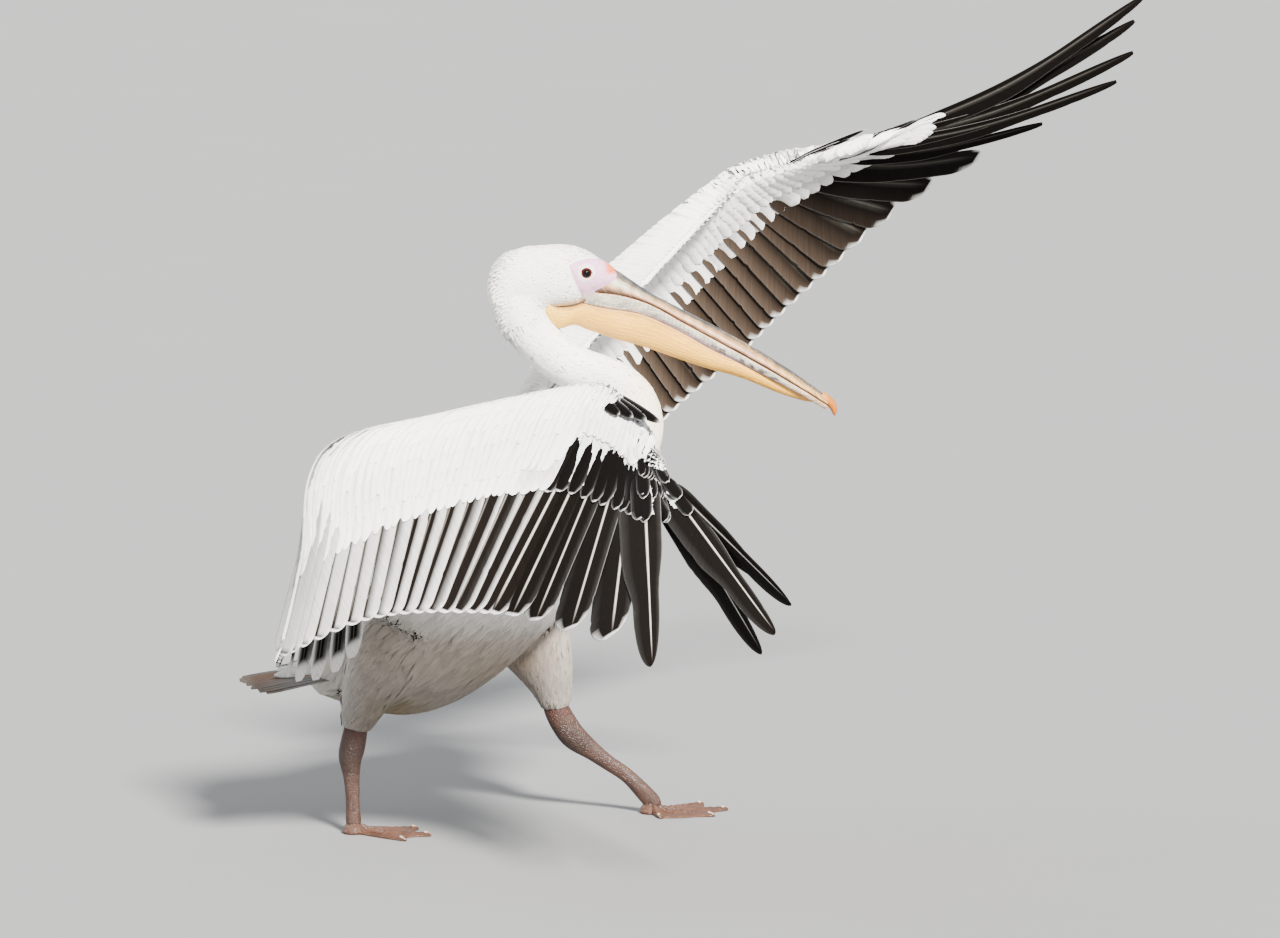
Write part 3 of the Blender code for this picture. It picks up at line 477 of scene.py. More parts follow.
# ---------------------------------------------------------------- materials
class Nodes:
    """Short ways to build one material's node tree; most give the new node's output."""

    def __init__(self, name):
        self.material = bpy.data.materials.new(name)
        self.material.use_nodes = True
        self.tree = self.material.node_tree
        self.shader = self.tree.nodes["Principled BSDF"]

    def node(self, kind, **settings):
        made = self.tree.nodes.new(kind)
        for key, value in settings.items():
            setattr(made, key, value)
        return made

    def join(self, source, target):
        self.tree.links.new(source, target)

    def attribute(self, name, output="Color"):
        return self.node("ShaderNodeAttribute", attribute_name=name).outputs[output]

    def feed(self, socket, value):
        """Gives a socket a number, a colour or another node's output."""
        if isinstance(value, (int, float)):
            socket.default_value = value
        elif isinstance(value, tuple):
            socket.default_value = (*value, 1.0)
        else:
            self.join(value, socket)

    def math(self, operation, *values):
        made = self.node("ShaderNodeMath", operation=operation)
        for socket, value in zip(made.inputs, values):
            self.feed(socket, value)
        return made.outputs[0]

    def combine(self, *values):
        made = self.node("ShaderNodeCombineXYZ")
        for socket, value in zip(made.inputs, values):
            self.feed(socket, value)
        return made.outputs[0]

    def noise(self, vector, scale, detail=3.0, roughness=0.55):
        made = self.node("ShaderNodeTexNoise")
        self.join(vector, made.inputs["Vector"])
        made.inputs["Scale"].default_value = scale
        made.inputs["Detail"].default_value = detail
        made.inputs["Roughness"].default_value = roughness
        return made.outputs["Fac"]

    def ramp(self, value, low, high, out_low=0.0, out_high=1.0):
        made = self.node("ShaderNodeMapRange", clamp=True)
        self.join(value, made.inputs["Value"])
        for key, number in zip(("From Min", "From Max", "To Min", "To Max"),
                               (low, high, out_low, out_high)):
            made.inputs[key].default_value = number
        return made.outputs["Result"]

    def blend(self, kind, factor, one, other):
        made = self.node("ShaderNodeMix", data_type="RGBA", blend_type=kind)
        for place, value in ((0, factor), (6, one), (7, other)):
            self.feed(made.inputs[place], value)
        return made.outputs[2]

    def shaded(self, tone, shade):
        """A colour made lighter or darker by a grey shade."""
        return self.blend("MULTIPLY", 1.0, tone, self.combine(shade, shade, shade))

    def cells(self, vector, scale):
        """Distance to the edges of small irregular cells."""
        made = self.node("ShaderNodeTexVoronoi", feature="DISTANCE_TO_EDGE")
        self.join(vector, made.inputs["Vector"])
        made.inputs["Scale"].default_value = scale
        return made.outputs["Distance"]

    def lay(self):
        """Place along a feather or the bill, place across it, and a number of its own."""
        parts = self.node("ShaderNodeSeparateXYZ")
        self.join(self.attribute("lay", "Vector"), parts.inputs[0])
        return parts.outputs

    def bump(self, height, distance, strength=1.0, under=None):
        made = self.node("ShaderNodeBump")
        made.inputs["Distance"].default_value = distance
        made.inputs["Strength"].default_value = strength
        self.join(height, made.inputs["Height"])
        if under is not None:
            self.join(under, made.inputs["Normal"])
        return made.outputs["Normal"]

    def object_place(self):
        return self.node("ShaderNodeTexCoord").outputs["Object"]

    def finish(self, colour, normal=None, roughness=None, **fixed):
        self.join(colour, self.shader.inputs["Base Color"])
        if normal is not None:
            self.join(normal, self.shader.inputs["Normal"])
        if roughness is not None:
            self.join(roughness, self.shader.inputs["Roughness"])
        for key, value in fixed.items():
            self.shader.inputs[key.replace("_", " ").title().replace("Ior", "IOR")].default_value = value
        return self.material


def feather_material(name, barb_width, contrast, sheen, specular, roughness=0.72, depth=0.0003):
    """Feather: the tone of each vane with barbs that run out and forward from its shaft."""
    n = Nodes(name)
    along, aside, own = n.lay()
    side = n.math("ABSOLUTE", aside)
    barb = n.math("SUBTRACT", along, n.math("MULTIPLY", side, 1.15))
    fine = n.noise(n.combine(n.math("MULTIPLY", barb, 1.0 / barb_width),
                             n.math("MULTIPLY", side, 18.0),
                             n.math("MULTIPLY", own, 37.0)), 1.0, 2.0)
    broad = n.noise(n.combine(n.math("MULTIPLY", barb, 0.22 / barb_width),
                              n.math("MULTIPLY", side, 9.0),
                              n.math("MULTIPLY", own, 91.0)), 1.0, 2.0)
    patch = n.noise(n.object_place(), 9.0, 3.0)
    tone = n.attribute("tone")
    streaks = n.math("ADD", n.ramp(fine, 0.3, 0.7, 1.0 - contrast, 1.0 + contrast * 0.35),
                     n.ramp(broad, 0.3, 0.7, -contrast * 0.6, contrast * 0.3))
    shade = n.math("MULTIPLY", streaks, n.ramp(patch, 0.3, 0.7, 0.95, 1.03))
    colour = n.shaded(tone, shade)
    normal = n.bump(n.math("ADD", fine, n.math("MULTIPLY", broad, 0.8)), depth, 0.8)
    rough = n.ramp(broad, 0.2, 0.8, roughness - 0.08, roughness + 0.10)
    return n.finish(colour, normal, rough, sheen_weight=sheen, sheen_roughness=0.5,
                    specular_ior_level=specular)


def skin_material():
    """Skin: pale under the coat, pink and finely creased where it is bare."""
    n = Nodes("skin")
    place = n.object_place()
    tone = n.attribute("tone")
    blotch = n.noise(place, 160.0, 4.0)
    vein = n.noise(place, 420.0, 3.0)
    shade = n.math("MULTIPLY", n.ramp(blotch, 0.3, 0.7, 0.88, 1.08), n.ramp(vein, 0.3, 0.7, 0.94, 1.05))
    colour = n.shaded(tone, shade)
    normal = n.bump(n.ramp(n.cells(place, 900.0), 0.0, 0.25), 0.00018, 0.7,
                    n.bump(blotch, 0.0005, 0.6))
    return n.finish(colour, normal, n.ramp(blotch, 0.3, 0.7, 0.48, 0.62),
                    subsurface_weight=0.12, subsurface_scale=0.004)


def horn_material(name, roughness, streak_scale, depth, contrast, warm, coat):
    """Bill horn: lengthwise growth lines, flecks and a soft gloss over the painted zones."""
    n = Nodes(name)
    along, aside, own = n.lay()
    tone = n.attribute("tone")
    lines = n.noise(n.combine(n.math("MULTIPLY", along, 22.0),
                              n.math("MULTIPLY", aside, streak_scale), own),
                    1.0, 4.0)
    flecks = n.noise(n.combine(n.math("MULTIPLY", along, 230.0),
                               n.math("MULTIPLY", aside, 340.0), own), 1.0, 3.0)
    shade = n.math("MULTIPLY", n.ramp(lines, 0.3, 0.7, 1.0 - contrast, 1.0 + contrast * 0.6),
                   n.ramp(flecks, 0.25, 0.75, 1.0 - contrast * 0.7, 1.0 + contrast * 0.4))
    stained = n.blend("MIX", n.ramp(lines, 0.52, 0.72, 0.0, 0.45), tone, warm)
    colour = n.shaded(stained, shade)
    normal = n.bump(lines, depth, 0.8, n.bump(flecks, depth * 0.5, 0.6))
    return n.finish(colour, normal, n.ramp(flecks, 0.3, 0.7, roughness - 0.08, roughness + 0.1),
                    coat_weight=coat, coat_roughness=0.3)


def leg_material():
    """Leg: net of small scales in orange-pink, with dull stains."""
    n = Nodes("leg_scales")
    place = n.object_place()
    tone = n.attribute("tone")
    plate = n.ramp(n.cells(place, 330.0), 0.0, 0.18)
    mottle = n.noise(place, 45.0, 5.0)
    fine = n.noise(place, 700.0, 2.0)
    shade = n.math("MULTIPLY", n.ramp(mottle, 0.3, 0.7, 0.66, 1.12), n.ramp(plate, 0.0, 1.0, 0.72, 1.03))
    colour = n.shaded(tone, shade)
    normal = n.bump(plate, 0.0005, 0.9, n.bump(fine, 0.00015, 0.6))
    return n.finish(colour, normal, n.ramp(mottle, 0.3, 0.7, 0.40, 0.58),
                    subsurface_weight=0.05, subsurface_scale=0.003)


def eye_material():
    """Eye: dark red-brown iris with fine rays, black pupil, wet surface."""
    n = Nodes("eye")
    tone = n.attribute("tone")
    lay = n.attribute("lay", "Vector")
    rays = n.noise(lay, 14.0, 3.0)
    shade = n.ramp(rays, 0.3, 0.7, 0.7, 1.25)
    colour = n.shaded(tone, shade)
    wet = n.ramp(n.noise(n.object_place(), 300.0), 0.3, 0.7, 0.03, 0.06)
    normal = n.bump(rays, 0.00004, 0.3)
    return n.finish(colour, normal, wet, coat_weight=0.15, coat_roughness=0.02, ior=1.22)


def floor_material():
    """Floor: pale grey, faintly clouded."""
    n = Nodes("studio_floor")
    cloud = n.noise(n.object_place(), 1.4, 5.0)
    grit = n.noise(n.object_place(), 220.0, 2.0)
    colour = n.blend("MIX", n.ramp(cloud, 0.3, 0.7), (0.165, 0.167, 0.170), (0.175, 0.175, 0.175))
    normal = n.bump(grit, 0.0004, 0.2)
    return n.finish(colour, normal, n.ramp(grit, 0.3, 0.7, 0.7, 0.8))


# ---------------------------------------------------------------- skin
def tree_of(places):
    """Finds the nearest of the places by its number."""
    tree = KDTree(len(places))
    for i, place in enumerate(places):
        tree.insert(place, i)
    tree.balance()
    return tree


def read_out(items, key, size, kind=float):
    """One property of all of a mesh's items, as rows of numbers."""
    values = np.empty(len(items) * size, kind)
    items.foreach_get(key, values)
    return values.reshape(-1, size)


def node_mesh(name):
    """The points and triangles of a CAD node in the bird's own frame."""
    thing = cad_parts[name]
    bm = bmesh.new()
    bm.from_mesh(thing.data)
    bm.transform(thing.matrix_world)
    bmesh.ops.remove_doubles(bm, verts=bm.verts, dist=1e-5)
    bmesh.ops.triangulate(bm, faces=bm.faces)
    bm.normal_update()
    points = np.array([vertex.co for vertex in bm.verts]) - SHIFT
    normals = np.array([vertex.normal for vertex in bm.verts])
    bm.verts.index_update()
    triangles = np.array([[vertex.index for vertex in face.verts] for face in bm.faces])
    bm.free()
    return points, normals, triangles


def scattered(points, triangles, spacing, rng):
    """Random places on a mesh, one for each spacing squared of area."""
    a, b, c = (points[triangles[:, i]] for i in range(3))
    area = np.linalg.norm(np.cross(b - a, c - a), axis=1) / 2
    count = np.floor(area / np.square(spacing) + rng.random(len(area))).astype(int)
    pick = np.repeat(np.arange(len(area)), count)
    r, s = rng.random(len(pick)), rng.random(len(pick))
    over = r + s > 1.0
    r[over], s[over] = 1.0 - r[over], 1.0 - s[over]
    return a[pick] + (b - a)[pick] * r[:, None] + (c - a)[pick] * s[:, None], pick


def neighbours(count, edges, values):
    """Mean of one value over the vertices that share an edge with each vertex."""
    one, other = edges.T
    degree = np.maximum(np.bincount(one, minlength=count) + np.bincount(other, minlength=count), 1)
    return (np.bincount(one, values[other], count) + np.bincount(other, values[one], count)) / degree


def even_out(points, edges, rounds):
    """Taubin smoothing, which keeps the volume."""
    values = points.copy()
    for i in range(2 * rounds):
        mean = np.stack([neighbours(len(values), edges, column) for column in values.T], axis=1)
        values += (0.55 if i % 2 == 0 else -0.57) * (mean - values)
    return values


def spread(values, edges, rounds):
    """Plain averaging of a value over neighbours."""
    for _ in range(rounds):
        values = 0.5 * values + 0.5 * neighbours(len(values), edges, values)
    return values


class Skin:
    """One surface over all the flesh, with the name of the body part at each vertex."""

    def __init__(self, wings):
        rng = np.random.default_rng(11)
        self.parts = {name: node_mesh(name) for name in FLESH}
        points, faces, marks = [], [], []
        offset = 0
        for name in (*FLESH, "eye_left", "eye_right"):
            co, normals, triangles = self.parts.get(name) or node_mesh(name)
            points.append(co + normals * 0.0007)     # a little more, so that parts that touch join
            faces.append(triangles + offset)
            offset += len(co)
            if name in self.parts:
                marks.append(scattered(co, triangles, 0.008, rng)[0])
        rough = make_mesh("skin_form", np.concatenate(points), [np.concatenate(faces)])
        remesh = rough.modifiers.new("merge", "REMESH")
        remesh.mode = "VOXEL"
        remesh.voxel_size = SKIN_VOXEL
        depsgraph = bpy.context.evaluated_depsgraph_get()
        mesh = bpy.data.meshes.new_from_object(rough.evaluated_get(depsgraph))
        bpy.data.objects.remove(rough, do_unlink=True)
        self.read(mesh)
        self.points = even_out(self.points - SHIFT, self.edges, 12)
        tree = tree_of(np.concatenate(marks))
        owner = np.repeat(np.arange(len(FLESH)), [len(places) for places in marks])
        self.owner = np.array([owner[tree.find(point)[1]] for point in self.points])
        self.set_depth()
        for wing in wings:
            self.thin_wing(wing)
        mesh.vertices.foreach_set("co", self.points.ravel())
        self.refine_face(mesh)

    def read(self, mesh):
        """Takes the mesh's vertices, edges and triangles."""
        self.points = read_out(mesh.vertices, "co", 3)
        self.edges = read_out(mesh.edges, "vertices", 2, np.int32)
        mesh.calc_loop_triangles()
        self.triangles = read_out(mesh.loop_triangles, "vertices", 3, np.int32)

    def normals(self):
        """Unit normals at the vertices, weighted by area."""
        a, b, c = (self.points[self.triangles[:, i]] for i in range(3))
        face = np.cross(b - a, c - a)
        total = np.zeros_like(self.points)
        for i in range(3):
            for k in range(3):
                total[:, k] += np.bincount(self.triangles[:, i], face[:, k], len(self.points))
        return unit(total)

    def bare(self, low, high):
        """How much of each vertex is bare face, from how far it is inside the outline."""
        x, _, z = self.points.T
        return ease(low, high, inside(FACE_OUTLINE, x, z)) * (self.owner == FLESH.index("head"))

    def off_eye(self):
        return np.hypot(self.points[:, 0] - EYE_AT[0], self.points[:, 2] - EYE_AT[2])

    def set_depth(self):
        """Sinks the surface by the depth of the coat, and the eye sockets a little more."""
        depth_of = np.array([COAT_DEPTH[next(key for key in COAT_DEPTH if name.startswith(key))]
                             for name in FLESH])
        depth = spread(depth_of[self.owner], self.edges, 14)
        x, y, z = self.points.T
        depth = depth * (1.0 - self.bare(-0.002, 0.003))
        depth = depth + 0.0030 * ease(0.085, 0.045, x) * ease(0.68, 0.74, z)
        socket = ease(0.0095, 0.0065, self.off_eye()) * (np.abs(y) > 0.018)
        self.points = self.points - self.normals() * (depth + 0.0040 * socket)[:, None]

    def thin_wing(self, wing):
        """Tapers the flesh towards the rear edge, where the coverts close over the vanes."""
        u, v = np.meshgrid(np.linspace(0.0, 2.97, 100), np.linspace(0.0, 2.0, 80), indexing="ij")
        grid = wing.at(u, v).reshape(-1, 3)
        tree = tree_of(grid)
        parts = [i for i, name in enumerate(FLESH) if name.startswith(f"wing_{wing.side}")]
        chosen = np.flatnonzero(np.isin(self.owner, parts))
        nearest = np.array([tree.find(point)[1] for point in self.points[chosen]])
        u, v = u.ravel()[nearest], v.ravel()[nearest]
        normal = wing.normal(u, np.minimum(v, V_LAST))
        off = ((self.points[chosen] - grid[nearest]) * normal).sum(1)
        limit = np.maximum(wing.flesh_half(u, v) - COAT_DEPTH["wing"] - 0.0004, 0.0009)
        over = np.where(v > 1.05, np.abs(off) - limit, 0.0).clip(0.0)
        over = spread(np.bincount(chosen, over, len(self.points)), self.edges, 2)[chosen]
        self.points[chosen] -= normal * (np.sign(off) * over)[:, None]

    def refine_face(self, mesh):
        """Finer faces where the skin is bare."""
        bm = bmesh.new()
        bm.from_mesh(mesh)
        layer = bm.verts.layers.int.new("owner")
        bm.verts.ensure_lookup_table()
        for vertex, owner in zip(bm.verts, self.owner):
            vertex[layer] = int(owner)
        head = FLESH.index("head")
        edges = [edge for edge in bm.edges
                 if all(v[layer] == head and v.co.x > 0.138 and v.co.z > 0.76 for v in edge.verts)]
        bmesh.ops.subdivide_edges(bm, edges=edges, cuts=3, use_grid_fill=True, smooth=0.6)
        bmesh.ops.triangulate(bm, faces=[face for face in bm.faces if len(face.verts) > 4])
        self.owner = np.array([vertex[layer] for vertex in bm.verts])
        bm.to_mesh(mesh)
        bm.free()
        self.read(mesh)
        self.mesh = mesh
        self.vertex_normals = self.normals()
        self.tree = BVHTree.FromPolygons([Vector(p) for p in self.points],
                                         [tuple(t) for t in self.triangles.tolist()])

    def build(self, material):
        """The visible skin, which stands for all the flesh nodes."""
        polygons = {}
        for polygon in self.mesh.polygons:
            polygons.setdefault(polygon.loop_total, []).append(list(polygon.vertices))
        points = self.face_folds()
        made = make_mesh("skin", points, [np.array(group) for group in polygons.values()])
        give_tone(made, self.tones())
        return finished(made, "plumage_white", material, *FLESH)

    def face_folds(self):
        """Fine creases round the eye and across the bare face."""
        off = self.off_eye()
        rings = np.sin(off / 0.0021 * 2 * math.pi) * ease(0.022, 0.011, off)
        cross = ripple(self.points * np.array((1.0, 1.0, 1.6)), 0.0016, 5)
        lift = 0.00022 * rings + 0.00025 * cross
        return self.points + self.vertex_normals * (lift * self.bare(0.001, 0.006))[:, None]

    def tones(self):
        """White under the coat; lilac-pink on the face, paler round the eye, orange at the bill."""
        x, _, z = self.points.T
        face = mix(np.broadcast_to(FACE_PINK, self.points.shape), (0.78, 0.66, 0.66),
                   ease(0.0150, 0.0115, self.off_eye()))
        face = mix(face, FACE_ORANGE, 0.95 * ease(0.196, 0.206, x) * ease(0.820, 0.829, z))
        face = mix(face, (0.72, 0.60, 0.60), ease(0.800, 0.788, z))
        return mix(WHITE, face, self.bare(-0.0005, 0.0008))


# ---------------------------------------------------------------- coat of the body
def trunk_frame():
    """Ways along the trunk to the front and up from its back."""
    along = unit(TRUNK_FRONT - TRUNK_REAR)
    up = np.array((-along[2], 0.0, along[0]))
    return along, up


def neck_place(points):
    """Nearest place on the neck's middle line, and the way down it towards the body."""
    places = np.linspace(0.0, 14.0, 141)
    line = curve(NECK_LINE, places)
    flat = points[:, [0, 2]]
    near = ((flat[:, None, :] - line[None]) ** 2).sum(-1).argmin(1)
    ahead = line[np.clip(near - 1, 0, 140)] - line[np.clip(near + 1, 0, 140)]
    way = np.zeros_like(points)
    way[:, [0, 2]] = ahead
    middle = np.zeros_like(points)
    middle[:, [0, 2]] = line[near]
    return places[near], unit(way), middle


def flow(points, normals, owner):
    """The way the coat lies at each point."""
    name = np.array([FLESH[i] for i in owner])
    rear = np.array((0.0, 0.0, -0.30)) - trunk_frame()[0]
    way = np.tile(rear, (len(points), 1))
    neck = np.char.startswith(name, "neck")
    if neck.any():
        way[neck] = neck_place(points[neck])[1]
    head = name == "head"
    if head.any():
        x = points[head][:, 0]
        way[head] = stacked(-1.0, 0.0, -0.25 - 0.9 * ease(0.12, 0.04, x))
    for side in THIGHS:
        thigh = name == f"thigh_{side}"
        top, bottom = (np.array(end) for end in THIGHS[side])
        down = unit(bottom - top) + np.array((-0.35, 0.0, 0.0))
        way[thigh] = mix(rear[None], down[None], ease(0.31, 0.25, points[thigh][:, 2]))
    return across_plane(way, normals)


def traced(skin, roots, normals, way, length, rows, owner):
    """Follows the skin from each root; returns the line's points and normals."""
    count = len(roots)
    line = np.empty((count, rows, 3))
    ups = np.empty((count, rows, 3))
    line[:, 0], ups[:, 0] = roots, normals
    here, up, heading = roots, normals, way
    step = (length / (rows - 1))[:, None]
    for row in range(1, rows):
        reach = here + heading * step
        for i, place in enumerate(reach):
            found = skin.tree.find_nearest(Vector(place))
            line[i, row] = found[0]
            ups[i, row] = found[1]
        ups[:, row] = unit(0.5 * up + 0.5 * ups[:, row])
        here, up = line[:, row], ups[:, row]
        heading = across_plane(heading + 0.35 * flow(here, up, owner), up)
    return line, ups


def lie(line):
    """Direction along each feather; its whole run counts too, so a crease can't turn it round."""
    return unit(np.gradient(line, axis=1) + 0.35 * (line[:, -1:] - line[:, :1]))


def measured(measure, points):
    """A measure at each place: one number for all of them, or a function of the places."""
    return measure(points) if callable(measure) else np.full(len(points), measure)


def coat(name, skin, chosen, unwrap, material, seed, spacing, length, width, depth, lift, rows,
         thick, spray=0.10):
    """Tufts over the chosen triangles of the skin."""
    rng = np.random.default_rng(seed)
    triangles = skin.triangles[chosen]
    roots, pick = scattered(skin.points, triangles, spacing / math.sqrt(DENSITY), rng)
    corner = triangles[pick][:, 0]
    owner = skin.owner[corner]
    normals = skin.vertex_normals[corner]
    size = 1.0 + 0.35 * (rng.random(len(roots)) - 0.5)
    length = measured(length, roots) * size
    width = measured(width, roots) * (1.0 + 0.3 * (rng.random(len(roots)) - 0.5))
    way = flow(roots, normals, owner)
    side = np.cross(normals, way)
    way = unit(way + side * (rng.normal(size=len(roots)) * spray)[:, None])
    line, ups = traced(skin, roots, normals, way, length, rows, owner)
    run = np.linalg.norm(line[:, -1] - line[:, 0], axis=1)
    path = np.linalg.norm(np.diff(line, axis=1), axis=2).sum(1)
    plain = (run > 0.82 * path) & ((ups[:, 0] * ups[:, -1]).sum(1) > 0.0)    # the rest fold in a crease
    line, ups, roots, width = line[plain], ups[plain], roots[plain], width[plain]
    t = np.linspace(0.0, 1.0, rows)
    rise = measured(depth, roots)[:, None] * (0.05 + 0.95 * ease(0.0, 0.50, t))
    jitter = rng.random(len(roots))[:, None]
    raised = (measured(lift, roots) * (0.4 + 1.2 * rng.random(len(roots))))[:, None] * t**2
    line = line + ups * (rise * (0.92 + 0.12 * jitter) + raised - 0.0004)[..., None]
    tangent = lie(line)
    across = unit(np.cross(ups, tangent))
    up = np.cross(tangent, across)
    shape = np.sin(math.pi * np.clip(0.18 + 0.70 * t, 0.0, 1.0)) * (1.0 - 0.80 * ease(0.72, 1.0, t))
    half = width[:, None] / 2 * shape
    # painted shade: each tuft a little darker towards its root, under the tufts that lie over it
    tone = body_colour(roots, rng)[:, None, None] * (0.90 + 0.12 * t)[:, None, None]
    made = vanes(name, line, across, up, half, half, thick, TUFT, tone, unwrap(roots), rng, curl=0.3)
    return finished(made, "plumage_white", material)


def triangles_of(skin, *names):
    """The skin's triangles that belong to the named parts."""
    wanted = [FLESH.index(name) for name in names]
    return np.isin(skin.owner[skin.triangles[:, 0]], wanted)


def trunk_unwrap(points):
    along, up = trunk_frame()
    off = points - TRUNK_REAR
    return np.stack([wrapped(off[:, 1], off @ up), off @ along / 0.70 + 0.08], axis=1)


def neck_unwrap(points):
    place, way, middle = neck_place(points)
    off = points - middle
    side = np.cross(way, np.array((0.0, 1.0, 0.0)))
    return np.stack([wrapped(off[:, 1], (off * side).sum(1)), place / 14.0], axis=1)


def head_unwrap(points):
    x, y, z = points.T
    return np.stack([wrapped(y, z - 0.815), np.clip((x - 0.02) / 0.22, 0, 1)], axis=1)


def thigh_unwrap(side):
    top, bottom = (np.array(end) for end in THIGHS[side])

    def unwrap(points):
        t = (top[2] - points[:, 2]) / (top[2] - bottom[2])
        off = points - (top + (bottom - top) * t[:, None])
        return np.stack([wrapped(off[:, 1], off[:, 0]), np.clip(t * 0.7 + 0.2, 0.0, 1.0)], axis=1)
    return unwrap


def body_colour(points, rng):
    """White back, cream breast, a greyer belly (painted shade, some of it stain), a yellowish patch and
    a faint mark.
    """
    x, _, z = points.T
    belly = ease(0.40, 0.30, z) * ease(-0.34, -0.12, x)
    # a brown mark on the flank behind the far thigh
    mottle = np.exp(-((x - 0.07) / 0.045) ** 2 - ((z - 0.262) / 0.03) ** 2)
    # painted shade: the belly lies in the near wing's shadow and is darker still low down; some of it is
    # staining
    painted_belly_shade = paint(x.shape, (0.27, 0.225, 0.18), ((0.145, 0.121, 0.098), ease(0.31, 0.20, z)))
    tone = paint(
        x.shape, WHITE,
        (painted_belly_shade, 0.92 * belly),
        ((0.14, 0.105, 0.050), 0.8 * bell(x + 0.08, 0.05) * ease(0.24, 0.19, z)),
        ((0.20, 0.14, 0.09), 0.5 * mottle),
        (CREAM, 0.85 * (ease(0.19, 0.26, x) * ease(0.48, 0.56, z))),
        ((0.85, 0.82, 0.755), ease(0.70, 0.76, z)))
    strands = 0.08 + 0.22 * belly
    shade = 1.0 + strands * (rng.random(len(points)) - 0.65) + 0.04 * ripple(points, 0.03, 3)
    return tone * shade[:, None]


def nape(points):
    """How much a place belongs to the shaggy strip down the back of the head and neck."""
    x, y, z = points.T
    return ease(0.085, 0.045, x) * ease(0.70, 0.76, z) * ease(0.034, 0.015, np.abs(y))


def off_face(points):
    """Distance from the bare face, seen from the side."""
    return -inside(FACE_OUTLINE, points[:, 0], points[:, 2])


def body_coat(skin, material):
    """Contour feathers of the trunk in two halves, of the thighs, the neck and the head."""
    middle = skin.points[skin.triangles].mean(axis=1)
    x, y, z = middle.T
    trunk = triangles_of(skin, "trunk")
    for number, (side, sign) in enumerate((("left", 1.0), ("right", -1.0))):
        coat(f"coat_trunk_{side}", skin, trunk & (y * sign >= 0.0), trunk_unwrap, material,
             seed=21 + number, spacing=0.0060, depth=0.0052, lift=0.0006, rows=6, thick=0.0005,
             length=lambda at: 0.048 - 0.022 * (ease(0.17, 0.27, at[:, 0]) * ease(0.42, 0.52, at[:, 2])),
             width=lambda at: 0.0100 - 0.003 * ease(0.17, 0.27, at[:, 0]))
        coat(f"coat_thigh_{side}", skin, triangles_of(skin, f"thigh_{side}"), thigh_unwrap(side),
             material, seed=23 + number, spacing=0.0042, length=0.027, width=0.0062, lift=0.0005,
             rows=5, thick=0.0004, spray=0.12,
             depth=lambda at: 0.0034 - 0.0020 * ease(0.20, 0.16, at[:, 2]))

    coat("coat_neck", skin, triangles_of(skin, "neck_lower", "neck_upper"), neck_unwrap, material,
         seed=25, spacing=0.0031, width=0.0044, depth=0.0023, rows=5, thick=0.0003,
         length=lambda at: 0.0130 + 0.006 * nape(at) + 0.008 * ease(0.60, 0.54, at[:, 2]),
         lift=lambda at: 0.0003 + 0.0042 * nape(at))

    cheek_line = curve(CHEEK_LINE, x)[:, 0]
    covered = (inside(FACE_OUTLINE, x, z) <= -0.0006) & ((x <= 0.104) | (z >= cheek_line))
    coat("coat_head", skin, triangles_of(skin, "head") & covered, head_unwrap, material,
         seed=26, spacing=0.00185, rows=4, thick=0.00025,
         length=lambda at: 0.0075 - 0.0035 * ease(0.012, 0.001, off_face(at)) + 0.010 * nape(at),
         width=lambda at: 0.0027 + 0.0004 * nape(at),
         depth=lambda at: 0.0019 * (0.35 + 0.65 * ease(0.0, 0.006, off_face(at))),
         lift=lambda at: 0.0002 + 0.0055 * nape(at))


